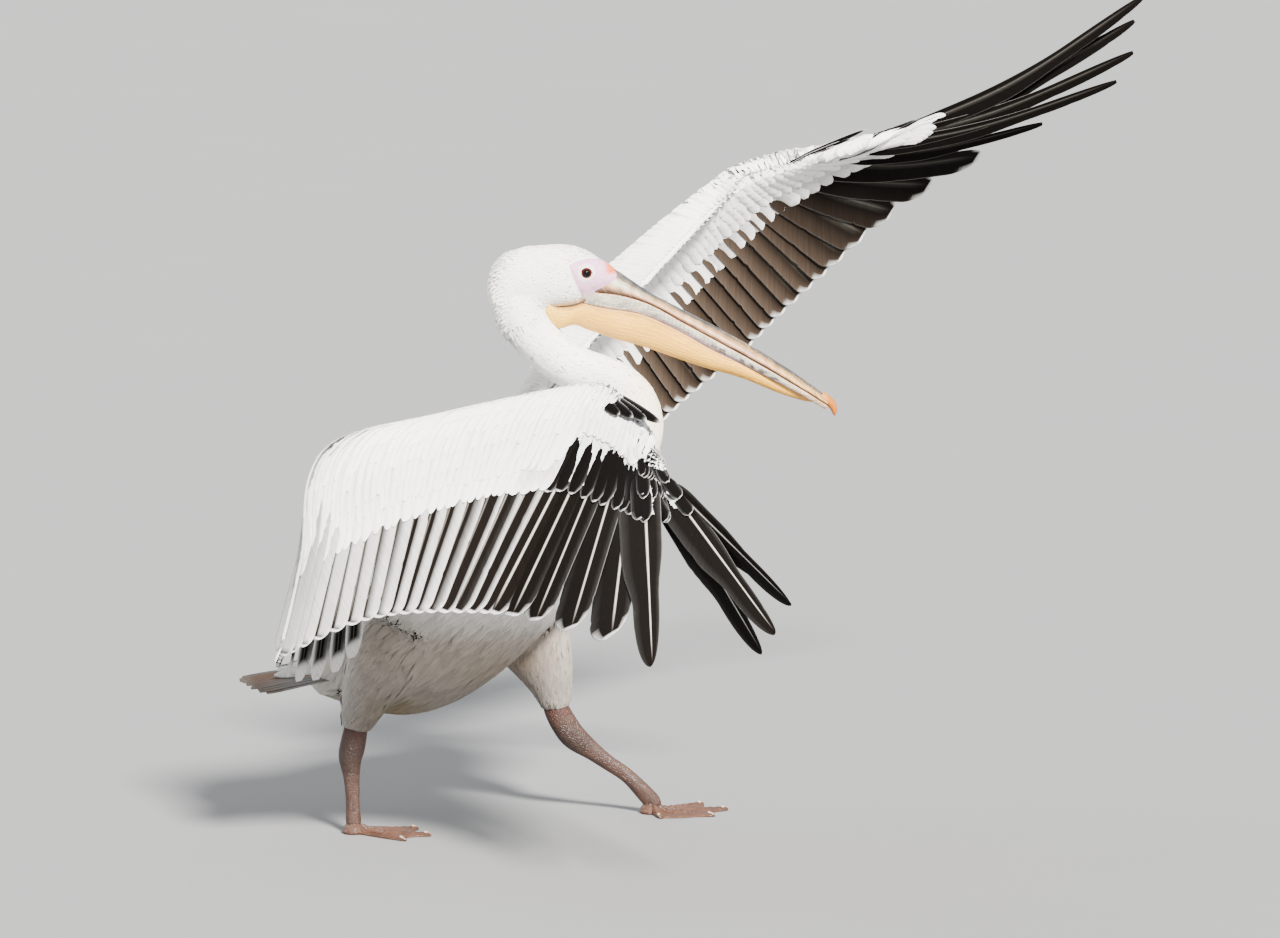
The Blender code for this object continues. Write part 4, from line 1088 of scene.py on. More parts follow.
# ---------------------------------------------------------------- wings
class Wing:
    """The middle surface of a wing: u along the bones, v 0 front edge, 1 bones, 2 feather tips."""

    PLACES = np.array((0.0, 1.0, 1.5, 2.0))
    SLOPES = np.gradient(np.eye(4), PLACES, axis=0)

    def __init__(self, side):
        self.data = WINGS[side]
        self.side = side
        self.bones = np.array(self.data["bones"])
        tips = np.array(self.data["tips"])
        reach = self.bones[3] - self.bones[2]
        ahead = np.cross(np.cross(reach, tips[9, 1:] - self.bones[2]), reach)
        self.front = -unit(ahead) * LEADING_EDGE
        self.dorsal = 1.0
        facing = self.normal(1.5, 1.3)[1] * self.data["dorsal_y"]
        self.dorsal = 1.0 if facing > 0.0 else -1.0
        self.measure()

    def bone(self, u):
        """Places on the bones' line, rounded a little at the joints."""
        u = np.asarray(u, float)
        i = np.clip(u.astype(int), 0, 2)
        share = (u - i)[..., None]
        straight = self.bones[i] * (1.0 - share) + self.bones[i + 1] * share
        bent = curve([(k, *bone) for k, bone in enumerate(self.bones)], u)
        return 0.65 * straight + 0.35 * bent

    def edge(self, u):
        """Places on the front edge: the fold of skin up to the wrist, then the hand's own."""
        u = np.asarray(u, float)[..., None]
        wrist = self.bones[2] + self.front
        line = self.bones[0] + (wrist - self.bones[0]) * u / 2.0
        line = line + np.array((0.0, 0.0, 1.0)) * np.sin(math.pi * u / 2.0) * self.data["patagium_rise"]
        hand = self.bone(u[..., 0]) + self.front * (1.0 - 0.4 * (u - 2.0))
        return np.where(u >= 2.0, hand, line)

    def at(self, u, v):
        """Places on the surface."""
        u, v = np.broadcast_arrays(np.asarray(u, float), np.asarray(v, float))
        edge, bone, tip = self.edge(u), self.bone(u), curve(self.data["tips"], u)
        middle = (bone + tip) / 2
        middle[..., 2] -= self.data["sag"] * np.maximum(u - 2.0, 0.0)
        values = np.stack([edge, bone, middle, tip], axis=-2)
        slopes = np.einsum("ij,...jk->...ik", self.SLOPES, values)
        i = np.clip(np.searchsorted(self.PLACES, v, side="right") - 1, 0, 2)
        step = (self.PLACES[i + 1] - self.PLACES[i])[..., None]
        t = (v - self.PLACES[i])[..., None] / step

        def take(rows, k):
            return np.take_along_axis(rows, k[..., None, None], axis=-2)[..., 0, :]

        return hermite(t, step, take(values, i), take(slopes, i),
                       take(values, i + 1), take(slopes, i + 1))

    def normal(self, u, v):
        """Unit normal on the dorsal side, evened over a stretch of the span."""
        u, v = np.broadcast_arrays(np.asarray(u, float), np.asarray(v, float))
        span = self.at(np.minimum(u + 0.18, 2.96), v) - self.at(np.maximum(u - 0.18, 0.0), v)
        chord = self.at(u, np.minimum(v + 0.001, 2.0)) - self.at(u, np.maximum(v - 0.001, 0.0))
        return unit(np.cross(span, chord)) * self.dorsal

    def outward(self, u, v):
        """Unit vector along the span, towards the wing's tip."""
        return unit(self.at(np.minimum(np.asarray(u) + 0.05, 2.99), v)
                    - self.at(np.maximum(np.asarray(u) - 0.05, 0.0), v))

    def lying(self, tangent, normal, u, v):
        """Ways across a feather and up from it, where it lies along the tangent."""
        across = unit(np.cross(normal, tangent))
        across = across * np.sign((across * self.outward(u, v)).sum(-1).mean())
        return across, unit(normal - tangent * (normal * tangent).sum(-1, keepdims=True))

    def measure(self):
        """Lengths along the chords, so that places can be found by distance from the front edge."""
        self.u_grid = np.linspace(0.0, 3.0, 91)
        self.v_grid = np.linspace(0.0, 2.0, 81)
        self.lengths = distances(self.at(self.u_grid[:, None], self.v_grid[None, :]))

    def chord(self, u, v):
        """Distance from the front edge to v, at one u."""
        i = min(int(u / 3.0 * 90), 89)
        share = u / 3.0 * 90 - i
        row = self.lengths[i] * (1.0 - share) + self.lengths[i + 1] * share
        return float(np.interp(v, self.v_grid, row)), row

    def flesh_half(self, u, v):
        """Half thickness of the solid wing, out to where only the vanes are left."""
        u, v = np.broadcast_arrays(np.asarray(u, float), np.asarray(v, float))
        rest, peak = np.moveaxis(curve(FLESH_PROFILE, v), -1, 0)
        half = (rest + peak * (0.040 - 0.009 * np.maximum(u - 1.0, 0.0))) / 2
        thin = ease(-0.36, -0.01, v - np.where(u >= 1.0, covert_end(u), 2.0))
        return half * (1.0 - thin) + 0.0026 * thin


def covert_end(u):
    """The v at which the coverts end."""
    return 1.0 + curve(COVERT_SHARE, u)[..., 0]


# Rows of coverts at the flesh's rear edge: from u, to u, tip beyond the edge, length, width,
# spacing along the span, kind. The upper ones first, then those underneath.
# The kind grey is white coverts painted grey towards their roots and middles: painted shade, where the
# parts in front shadow them.
GREATER_ROWS = {
    1: ((0.05, 1.82, 0.007, 0.095, 0.0155, 0.0112, "white"),
        (1.82, 1.97, 0.012, 0.095, 0.0220, 0.0145, "grey"),
        (1.97, 2.64, 0.018, 0.108, 0.0330, 0.0245, "black"),
        (2.64, 2.95, 0.014, 0.075, 0.0210, 0.0130, "black"),
        (2.64, 2.95, -0.035, 0.070, 0.0190, 0.0120, "black"),
        (2.66, 2.93, -0.080, 0.060, 0.0160, 0.0110, "black")),
    -1: ((0.05, 1.60, 0.007, 0.070, 0.0190, 0.0078, "white"),
         (1.60, 2.62, 0.008, 0.085, 0.0310, 0.0215, "grey"),
         (2.62, 2.95, 0.007, 0.070, 0.0190, 0.0125, "white")),
}


def rear_gap(u, face):
    """How far the rows of white coverts stay back from the flesh's rear edge."""
    if face > 0:
        hand = float(ease(1.92, 2.00, u))
        return 0.022 + 0.048 * hand + 0.045 * float(ease(2.58, 2.68, u))
    return 0.030


def covert_plan(wing, face, low, high, rng):
    """Each covert feather: u, distance of its tip, length, width, kind, share of the chord."""
    plan = []
    scale = 1.0 / math.sqrt(DENSITY)

    def next_u(u, v, spacing):
        gap = np.linalg.norm(wing.at(u + 0.01, v) - wing.at(u, v))
        return u + 0.01 * spacing * scale / max(gap, 1e-4) * (0.84 + 0.32 * rng.random())

    for start, stop, beyond, length, width, spacing, kind in GREATER_ROWS[face]:
        u = max(start, low) + 0.003
        while u < min(stop, high):
            reach = 2.0 if u < 1.0 else float(covert_end(np.array(u)))
            total = wing.chord(u, reach)[0]
            tip = total + beyond + 0.003 * (rng.random() - 0.5) - (0.004 if u < 1.0 else 0.0)
            plan.append((u, tip, length * (0.95 + 0.1 * rng.random()), width, kind, 1.0))
            u = next_u(u, reach, spacing)
    spacing, width, step, longest = ((0.0092, 0.0112, 0.027, 0.080) if face > 0
                                     else (0.0125, 0.0175, 0.022, 0.052))
    u = low + 0.002
    while u < high:
        reach = 2.0 if u < 1.0 else float(covert_end(np.array(u)))
        total = wing.chord(u, reach)[0]
        distance = total - rear_gap(u, face) - 0.006 * rng.random()
        row = 0
        while distance > 0.010:
            share = distance / total
            size = 0.45 + 0.55 * ease(0.02, 0.16, distance)
            # the first row underneath, from u 1.5 to 2.6, gets painted shade
            kind = "painted_shade" if face < 0 and row == 0 and 1.5 < u < 2.6 else "white"
            broad = 2.0 if face > 0 and row == 0 and u > 1.9 else 1.0
            plan.append((u, distance + 0.005 * (rng.random() - 0.5), longest * size,
                         width * broad * (0.70 + 0.30 * size), kind, share))
            distance -= step * (0.45 + 0.55 * float(ease(0.03, 0.14, distance)))
            row += 1
        u = next_u(u, 0.55 * reach, spacing)
    return plan


def covert_tone(kinds, u, t, s, rng):
    """Colour of each covert at each place along and across it, with painted shade in its seams and on
    the shaded rows.
    """
    shade = (0.97 + 0.06 * (rng.random(len(kinds)) - 0.5))[:, None, None]
    # how strongly the painted shade shows in each covert's seams
    painted_seam_shade = (0.35 + 0.65 * rng.random(len(kinds)))[:, None, None]
    black, grey, painted_shade = ((kinds == kind)[:, None, None] for kind in ("black", "grey", "painted_shade"))
    along, across = t[:, None], np.abs(s)
    side_edge = ease(0.92, 1.0, across) * (0.25 * ease(0.2, 0.6, along) + 0.65 * ease(0.82, 0.95, along))
    fringe = np.maximum(0.9 * ease(0.972, 0.992, along), side_edge)
    # painted shade for the grey kind: greyer towards the root and the middle
    grey = 0.55 * (grey * ease(0.98, 0.62, along) * ease(1.1, 0.4, across))
    return paint(
        (len(kinds), len(t), len(s)), WHITE * shade[..., None],
        # painted shade: grey along each covert's side edges, towards its root, where the next coverts
        # overlap it
        ((0.34, 0.34, 0.36), 0.75 * ease(0.45, 1.0, across) * ease(1.0, 0.6, along) * painted_seam_shade),
        (BLACK * 1.2, black * (1.0 - 0.9 * fringe)),
        # painted shade on the grey kind, from u 1.3 outwards
        ((0.36, 0.345, 0.335), grey * ease(1.30, 1.70, u)[:, None, None]),
        # painted shade on that first row of under-coverts, greyer towards the root
        ((0.45, 0.435, 0.42), 0.30 * (painted_shade * ease(1.0, 0.5, along))))


def coverts(wing, face, low, high, name, soft, stiff, seed):
    """Rows of covert feathers over one side of a stretch of the wing; face 1 is dorsal."""
    rng = np.random.default_rng(seed)
    plan = covert_plan(wing, face, low, high, rng)
    firm = [entry for entry in plan if entry[4] in ("black", "grey")]
    covert_rows(wing, face, [entry for entry in plan if entry not in firm], name, VANE, soft, rng)
    if firm:
        covert_rows(wing, face, firm, name.replace("coverts", "great_coverts"), FLIGHT, stiff, rng)


def covert_rows(wing, face, plan, name, section, material, rng):
    """One mesh of coverts from their places, sizes and kinds."""
    u, tip, length, width, kinds, share = (np.array(column) for column in zip(*plan))
    width = width * (0.94 + 0.12 * rng.random(len(plan)))
    t = 1.0 - (1.0 - np.linspace(0.0, 1.0, 9)) ** 1.6
    root = np.maximum(tip - length, 0.0005)
    distance = root[:, None] + (tip - root)[:, None] * t
    v = np.stack([np.interp(reach, wing.chord(at, 1.0)[1], wing.v_grid)
                  for reach, at in zip(distance, u)])
    sway = (rng.normal(size=len(u)) * 0.006)[:, None] * t
    uu = np.clip(u[:, None] + sway, 0.0, 2.98)
    normal = wing.normal(uu, np.minimum(v, V_LAST)) * face
    last = np.isin(kinds, ("black", "grey")) | (share >= 1.0)
    lift = np.where(last, 0.0009, 0.0014) + 0.0005 * rng.random(len(u))
    rise = wing.flesh_half(uu, v) - 0.0012 + (lift[:, None] * t) + 0.0004 * rng.random(len(u))[:, None]
    rise = rise - 0.0016 * last[:, None] * (1.0 - t)
    spine = wing.at(uu, v) + normal * rise[..., None]
    across, up = wing.lying(lie(spine), normal, uu, v)
    half = width[:, None] / 2 * ((0.45 + 0.55 * ease(0.0, 0.35, t)) * rounded(t, 0.74, 0.265, 0.01))
    tone = covert_tone(kinds, u, t, section[0], rng)
    uv = np.stack([u / 3.0, np.clip(v[:, 0] / 2.0, 0.0, 1.0)], axis=1)
    made = vanes(name, spine, across, up, half, half, 0.00035, section, tone, uv, rng,
                 tilt=0.0007, dish=-0.07, curl=0.45)
    return finished(made, "plumage_white" if section is VANE else "flight_black", material)


def flight_shape(t, kind):
    """Share of the full width along a flight feather: rounded, or drawn out for the fingers."""
    start = 0.30 + 0.70 * ease(0.0, 0.25, t)
    blunt = {"secondary": 0.905, "primary": 0.86, "finger": 0.72, "tertial": 0.80}[kind]
    tip = rounded(t, blunt, (1.004 - blunt), 0.0004)
    waist = 1.0 - 0.34 * ease(0.45, 0.70, t) if kind == "finger" else 1.0
    return start * tip * waist


def notched(width, t, rng, notches):
    """Parts a web here and there, where its barbs have come unzipped."""
    for _ in range(notches):
        place = rng.uniform(0.40, 0.93)
        deep = rng.uniform(0.02, 0.07)
        width = width * (1.0 - deep * bell(t - place, 0.012))
    return width


def flight_tone(u, kind, t, s, h, rng):
    """Dorsal and ventral colours of one flight feather."""
    shape = (len(t), len(s))
    t, side = t[:, None], np.abs(s)
    silver = float(ease(2.07, 1.90, u))
    border = 0.16 + 0.60 * float(ease(1.05, 1.95, u)) + 0.08 * (rng.random() - 0.5)
    border -= 1.6 * float(ease(1.06, 1.0, u))
    outer = silver * ease(border - 0.10, border + 0.12, s) * ease(0.985, 0.95, t)
    top = paint(shape, mix(BLACK, BROWN, 0.03), (PALE_GREY * (0.58 + 0.14 * rng.random()), outer))
    if kind == "tertial":
        top = paint(shape, BLACK * 1.5,
                    (WHITE, np.maximum(ease(0.50, 0.85, side), ease(0.86, 0.92, t))),
                    (WHITE, ease(0.74, 0.66, t)))
    blunt = 1.0 if kind in ("secondary", "primary") else 0.0
    tip_rim = blunt * np.maximum(ease(0.979, 0.991, t), ease(0.90, 0.97, side) * ease(0.91, 0.95, t))
    shaft = ease(0.075, 0.03, side) * ease(1.0, 0.80, t) * (0.15 + 0.85 * float(ease(1.70, 2.10, u)))
    top = paint(shape, top,
                (WHITE * 0.9, np.maximum(ease(0.93, 1.0, side) * 0.35, tip_rim * 0.9)),
                (SHAFT, shaft))

    dark = float(ease(1.75, 2.45, u))
    under = paint(shape, mix(BROWN * 0.17, BLACK, dark),
                  (BROWN * 0.72, (1.0 - dark) * ease(-0.15, -1.0, s)),
                  (BROWN * 3.0, (1.0 - 0.6 * dark) * 0.8 * ease(-0.955, -0.99, s)),
                  (WHITE * 0.95, tip_rim),
                  (SHAFT * 0.35, ease(0.10, 0.04, side) * ease(1.0, 0.8, t) * (0.35 - 0.15 * dark)))
    if kind == "tertial":
        under = top * 0.85
    return mix(top, under, ease(0.05, -0.05, h)) * (0.92 + 0.16 * rng.random())


def flight_plan(side):
    """Kind, u, v of the root, width and share of the outer web of each flight feather."""
    plan = [("tertial", 0.60 + 0.078 * i, 1.30, 0.046, 0.50) for i in range(5)]
    for i in range(SECONDARIES):
        grading = 1.32 if side == "right" else 1.10
        plan.append(("secondary", 1.0 + ((i + 0.5) / SECONDARIES) ** grading, 1.02, 0.052, 0.42))
    for i, u in enumerate(PRIMARY_PLACES[side]):
        if side == "right" and 2.6 < u < 2.7:
            plan.append(("finger", u, 1.02, 0.076, 0.34))
        elif i + 1 >= WINGS[side]["first_finger"]:
            plan.append(("finger", u, 1.02, 0.046 if side == "right" else 0.033, 0.30))
        else:
            plan.append(("primary", u, 1.02, 0.084 if side == "right" else 0.060, 0.36))
    return plan


def flight(wing, material):
    """The secondaries, primaries and tertials of one wing."""
    side = wing.side
    rng = np.random.default_rng(41 if side == "left" else 42)
    t = 1.0 - (1.0 - np.linspace(0.0, 1.0, 44)) ** 1.25
    bunch = Bunch(FLIGHT)
    for kind, place, root, width, outer in flight_plan(side):
        u = np.full(len(t), place)
        v = root + (2.0 - root) * t
        spine = wing.at(u, v)
        if kind == "tertial" and side == "right":
            end = curve(TERTIAL_TIPS, (place - 0.60) / 0.312)
            spine = spine[0] + (end - spine[0]) * t[:, None]
            v = np.minimum(v, 1.6)
        normal = wing.normal(u, np.minimum(v, 1.6 if kind == "finger" else V_LAST))
        across, up = wing.lying(unit(np.gradient(spine, axis=0)), normal, u, np.minimum(v, 1.9))
        if kind == "tertial" and side == "left":
            spine = spine + up * 0.0030
        width = width * (0.96 + 0.08 * rng.random())
        shape = flight_shape(t, kind)
        left = notched(width * (1.0 - outer) * shape, t, rng, 2)
        right = notched(width * outer * shape, t, rng, 1)
        tone = flight_tone(place, kind, t, *FLIGHT, rng)
        bunch.add(spine, across, up, left, right, tone, (place / 3.0, root / 2.0))
    made = bunch.build(f"flight_feathers_{side}", 0.00042 * (1.0 - 0.55 * t), rng,
                       tilt=0.0019, dish=-0.08)
    nodes = [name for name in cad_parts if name.startswith(f"wing_{side}_prim")]
    finished(made, "flight_black", material, f"wing_{side}_secondaries", *nodes)


def bastard_wing(wing, material):
    """The black feathers of the thumb, standing a little off the front of the hand."""
    rng = np.random.default_rng(51)
    t = np.linspace(0.0, 1.0, 20)
    root = wing.edge(wing.data["alula_from"]) + unit(wing.front) * 0.0070
    heading = unit(np.array(wing.data["alula_tip"]) - root)
    reach = np.linalg.norm(np.array(wing.data["alula_tip"]) - root)
    front = unit(wing.front - heading * (wing.front @ heading))
    up = unit(np.cross(heading, front))
    up = -up * np.sign(up[1])
    rim = np.maximum(ease(0.93, 1.0, np.abs(FLIGHT[0])) * 0.80, 0.7 * ease(0.94, 0.98, t)[:, None])
    tone = paint(rim.shape, BLACK, (WHITE * 0.85, rim))
    shape = (0.5 + 0.5 * ease(0.0, 0.3, t)) * np.sqrt(np.clip(1.0 - t**3, 0.002, 1.0))
    bunch = Bunch(FLIGHT)
    for i in range(4):
        length = reach * (1.0 - 0.20 * i)
        start = root + front * (0.006 - 0.0045 * i) + up * (0.0095 + 0.0013 * i) - heading * 0.002
        spine = (start + heading * ((length + 0.004) * t)[:, None]
                 - front * (0.002 * i * t)[:, None] - up * (0.003 * t)[:, None])
        bunch.add(spine, front, up, 0.0098 * shape, 0.0098 * shape, tone, (0.2 + 0.2 * i, 0.5))
    made = bunch.build(f"bastard_wing_{wing.side}", 0.0003, rng, dish=-0.08)
    finished(made, "flight_black", material, f"wing_{wing.side}_alula")


# ---------------------------------------------------------------- tail
def tail_axes():
    """Ways along the tail to its tip, up from it and across."""
    along = np.array((-math.cos(TAIL_DROOP), 0.0, -math.sin(TAIL_DROOP)))
    up = np.array((-math.sin(TAIL_DROOP), 0.0, math.cos(TAIL_DROOP)))
    return along, up, np.array((0.0, 1.0, 0.0))


def tail(material):
    """A fan of soft white feathers with brownish shafts."""
    rng = np.random.default_rng(61)
    t = np.linspace(0.0, 1.0, 26)
    along, up, across = tail_axes()
    shape = 0.0110 * (0.5 + 0.5 * ease(0.0, 0.3, t)) * rounded(t, 0.8, 0.205, 0.001)
    shaft = ease(0.16, 0.05, np.abs(FLIGHT[0])) * ease(1.0, 0.8, t)[:, None]
    # painted shade: the white painted down to a dark grey and browner towards the tips, for the shadow
    # the tail lies in, together with wet feathers
    tone = paint(shaft.shape, WHITE * 0.20,
                 ((0.085, 0.052, 0.032), 0.75 * ease(0.45, 1.0, t)[:, None]),
                 ((0.22, 0.075, 0.022), shaft))
    bunch = Bunch(FLIGHT)
    for i in range(TAIL_FEATHERS):
        part = 2.0 * (i + 0.5) / TAIL_FEATHERS - 1.0
        angle = part * TAIL_HALF_FAN
        heading = along * math.cos(angle) + across * math.sin(angle)
        root = TAIL_BASE + across * 0.030 * part + up * (0.0035 * (1.0 - abs(part)) - 0.012 * part**2)
        reach = TAIL_LENGTH * (1.0 - 0.18 * part**2) * rng.uniform(0.96, 1.0)
        spine = root + heading * (reach * t)[:, None] + up * (-0.004 * t**2)[:, None]
        half = notched(shape, t, rng, 3)
        bunch.add(spine, across * math.cos(angle) - along * math.sin(angle), up, half, half, tone,
                  (0.5 + 0.4 * part, 0.3))
    made = bunch.build("tail_feathers", 0.0004, rng, tilt=0.0012, dish=-0.08)
    finished(made, "plumage_white", material, "tail")


# rows of tail coverts: way up (1) or down (-1), start behind the tail's base, height off the
# tail there, half the row's spread, feathers, length
TAIL_COVERTS = (
    (1.0, -0.035, 0.036, 0.050, 17, 0.085), (1.0, -0.010, 0.030, 0.046, 17, 0.085),
    (1.0, 0.016, 0.021, 0.042, 15, 0.085), (1.0, 0.040, 0.013, 0.040, 15, 0.080),
    (-1.0, -0.040, 0.052, 0.052, 17, 0.090), (-1.0, -0.014, 0.047, 0.048, 17, 0.090),
    (-1.0, 0.012, 0.038, 0.044, 17, 0.090), (-1.0, 0.038, 0.026, 0.040, 15, 0.085),
    (-1.0, 0.060, 0.016, 0.036, 13, 0.075),
)


def tail_coverts(material):
    """Long soft feathers that carry the body's shape on to the tail, above and below it."""
    rng = np.random.default_rng(62)
    t = np.linspace(0.0, 1.0, 12)
    along, up, across = tail_axes()
    half = 0.0078 * (0.5 + 0.5 * ease(0.0, 0.4, t)) * rounded(t, 0.6, 0.405, 0.002)
    bunch = Bunch(VANE)
    for way, start, height, spread_out, feathers, length in TAIL_COVERTS:
        for i in range(feathers):
            part = 2.0 * (i + 0.5) / feathers - 1.0 + 0.04 * rng.normal()
            roof = math.sqrt(max(1.0 - 0.85 * part**2, 0.05))
            size = length * rng.uniform(0.92, 1.08)
            rise = height * roof * (1.0 - t) + (height * 0.42 + 0.002) * roof * t - 0.004 * (1.0 - t)
            sideways = spread_out * part * (1.0 - 0.10 * t) + 0.004 * rng.normal() * t
            spine = (TAIL_BASE + along * (start + size * t)[:, None] + up * (way * rise)[:, None]
                     + across * sideways[:, None])
            heading = unit(spine[-1] - spine[0])
            flat = unit(np.cross(unit(up * way * roof + across * part * 0.8), heading))
            # painted shade: the coverts below the tail painted dark brown-grey in the body's shadow,
            # those above a light grey
            base = WHITE * 0.66 if way > 0 else np.array((0.30, 0.25, 0.20))
            uv = np.clip((0.5 + 0.45 * part, 0.5 + way * (0.25 + 2.0 * start)), 0.01, 0.99)
            tone = base * rng.uniform(0.92, 1.04)
            bunch.add(spine, flat, np.cross(heading, flat), half, half, tone, uv)
    finished(bunch.build("tail_coverts", 0.0004, rng, dish=-0.08), "plumage_white", material)


# ---------------------------------------------------------------- bill
def ring_of(half, closing):
    """A full outline across the bill from one half's, (place across, height), and what closes it."""
    ring = np.array(half + [(-place, height) for place, height in half[-2::-1]] + closing)
    return ring[:, 0][None], ring[:, 1][None]


def horn_piece(name, s, across, height, tone, slot, material, *nodes):
    """A bill part from its grid of places, with lengthwise coordinates for its grain."""
    along = np.array((math.cos(BILL_PITCH), 0.0, -math.sin(BILL_PITCH)))
    up = np.array((math.sin(BILL_PITCH), 0.0, math.cos(BILL_PITCH)))
    points = (BILL_ORIGIN + along * s[..., None] + up * height[..., None]
              + np.array((0.0, 1.0, 0.0)) * across[..., None])
    made = loft(name, points)
    give_tone(made, tone)
    give_vector(made, "lay", stacked(s, distances(points), 0.0))
    return finished(made, slot, material, *nodes)


def bill_upper(material):
    """Grooved roof of the bill: raised ridge on top, sides down to the cutting edge."""
    half = [(0.93, 0.00), (0.99, 0.05), (1.00, 0.14), (0.99, 0.26), (0.96, 0.38), (0.91, 0.50),
            (0.84, 0.61), (0.75, 0.71), (0.64, 0.79), (0.52, 0.845), (0.43, 0.865), (0.37, 0.87),
            (0.32, 0.92), (0.25, 0.97), (0.13, 1.00), (0.0, 1.005)]
    a, z = ring_of(half, [(-0.80, 0.04), (-0.40, 0.08), (0.0, 0.09), (0.40, 0.08), (0.80, 0.04)])
    s = np.linspace(0.004, 0.392, 170)[:, None]
    culmen, tomium, _, wide = curve(BILL_STATIONS, s[:, 0]).T[..., None]
    tomium = tomium + 0.00015
    side = np.abs(a)
    across = wide * a * (1.0 + 0.006 * grain(9, s / 0.02, z * 6.0))
    height = tomium + (culmen - tomium) * z
    height = height + 0.00030 * grain(8, s / 0.004, a * 9.0) * (side < 0.40) * (z > 0.5)
    wave = grain(12, s / 0.03, z * 5.0 + side)
    fine = grain(13, s / 0.0016, z * 11.0 + side * 5.0)
    gold = bell(z - 0.60 + 0.06 * wave, 0.17) * ease(0.02, 0.10, s) * (0.75 + 0.25 * wave)
    specks = np.clip(grain(14, s / 0.0022, side * 14.0) - 0.35, 0, 1) * 2.0
    tone = paint(
        across.shape, (0.44, 0.31, 0.20),
        ((0.42, 0.30, 0.20), ease(0.30, 0.12, z) * 0.8),
        ((0.42, 0.17, 0.025), gold * 0.85),
        ((0.40, 0.40, 0.37), ease(0.100, 0.020, s + 0.03 * wave) * 0.9),
        ((0.40, 0.12, 0.015), bell(z - 0.28, 0.07) * 0.8),
        ((0.56, 0.36, 0.13), ease(0.25, 0.34, s) * 0.6),
        ((0.040, 0.048, 0.075), ease(0.72, 0.55, side) * (z > 0.70)),
        ((0.22, 0.22, 0.23), bell(z - 0.87, 0.05) * (side > 0.4) * 0.6),
        ((0.018, 0.015, 0.018), bell(side - 0.60, 0.060) * (z > 0.74) * 0.8),
        ((0.66, 0.46, 0.10),
         np.clip(specks, 0, 0.8) * ease(0.20, 0.30, side) * (z > 0.8) * ease(0.18, 0.26, s)),
        ((0.045, 0.010, 0.004), ease(0.22, 0.12, z) * 0.95))
    tone = tone * np.array((0.92, 0.80, 0.56)) * np.clip(1.0 + 0.42 * fine, 0.45, 1.6)[..., None]
    return horn_piece("bill_roof", s, across, height, tone, "bill_horn", material, "bill_upper")


def bill_lower(material):
    """The lower jaw: two pale rods side by side, seen as one band under the cutting edge."""
    half = [(0.86, 1.00), (0.94, 0.97), (0.985, 0.86), (1.0, 0.68), (1.0, 0.50), (0.985, 0.34),
            (0.965, 0.27), (0.955, 0.22), (0.945, 0.12), (0.90, 0.03), (0.80, 0.0), (0.45, 0.05),
            (0.0, 0.08)]
    a, z = ring_of(half, [(-0.5, 0.96), (0.0, 0.96), (0.5, 0.96)])
    s = np.linspace(0.004, 0.392, 150)[:, None]
    _, tomium, bottom, wide = curve(BILL_STATIONS, s[:, 0]).T[..., None]
    across = wide * 0.965 * a
    height = bottom + (tomium - 0.00025 - bottom) * z
    wave = grain(16, s / 0.025, z * 4.0)
    fine = grain(15, s / 0.0015, z * 10.0)
    blots = np.clip(grain(17, s / 0.0030, z * 4.0) + 0.05, 0, 1) * 2.5
    tone = paint(
        across.shape, (0.40, 0.41, 0.41),
        ((0.15, 0.105, 0.19), ease(0.44, 0.20, z + 0.07 * wave) * ease(0.05, 0.14, s) * 0.85),
        ((0.56, 0.52, 0.46), bell(z - 0.62, 0.13) * 0.6),
        ((0.52, 0.33, 0.17), ease(0.30, 0.385, s) * 0.6),
        ((0.46, 0.20, 0.045), ease(0.84, 0.95, z) * 0.85),
        ((0.024, 0.018, 0.030),
         np.clip(blots, 0, 0.85) * ease(0.16, 0.22, s) * ease(0.34, 0.30, s) * (z > 0.15) * (z < 0.6)),
        ((0.16, 0.05, 0.015), ease(0.14, 0.04, z) * 0.9))
    tone = tone * np.array((0.92, 0.86, 0.72)) * np.clip(1.0 + 0.38 * fine, 0.45, 1.6)[..., None]
    return horn_piece("bill_floor", s, across, height, tone, "bill_horn", material, "bill_lower")


def pouch(material):
    """Loose skin slung under the lower jaw, with fine lengthwise folds."""
    s = np.linspace(-0.052, 0.371, 200)[:, None]
    angle = np.linspace(0.0, math.pi, 96)[None]
    around, down = angle / math.pi, np.sin(angle)
    depth, wide = curve(POUCH_STATIONS, s[:, 0]).T[..., None]
    bottoms = [(row[0], row[3]) for row in BILL_STATIONS]
    top = np.where(s < 0.004, curve(POUCH_TOP, s[:, 0]), curve(bottoms, s[:, 0]) + 0.0006)
    drift = 0.7 * np.sin(s / 0.055 + 1.0) + 0.4 * np.sin(s / 0.023)
    folds = (np.sin(2 * math.pi * (around * 19.0 + drift * 0.6)) * 0.55
             + np.sin(2 * math.pi * (around * 33.0 - drift)) * 0.45)
    strength = 0.5 + 0.5 * grain(21, s / 0.03, around * 5.0)
    amount = (0.00034 + 0.0009 * ease(0.02, -0.05, s)) * folds * (0.4 + strength)
    amount = amount * down.clip(0.0) ** 0.5
    across = wide * np.cos(angle) * (1.0 + 0.10 * down) + amount * np.cos(angle)
    height = np.maximum(top - (top - depth) * down ** 0.85 - amount * down, depth)
    tone = paint(
        across.shape, (0.88, 0.44, 0.040),
        ((0.90, 0.49, 0.060), ease(0.3, 0.9, down) * 0.5),
        ((0.88, 0.56, 0.05), ease(0.03, -0.05, s) * 0.8),
        # painted shade: darker in the hollows of the folds
        ((0.46, 0.22, 0.06), np.clip(-folds, 0, 1) * 0.42),
        # painted shade: darker along the top edge, under the lower jaw
        ((0.30, 0.12, 0.03), ease(0.10, 0.0, down) * 0.7),
        ((0.55, 0.24, 0.08), ease(0.32, 0.361, s) * 0.5))
    return horn_piece("pouch_folds", s, across, height, tone, "pouch_skin", material, "pouch")


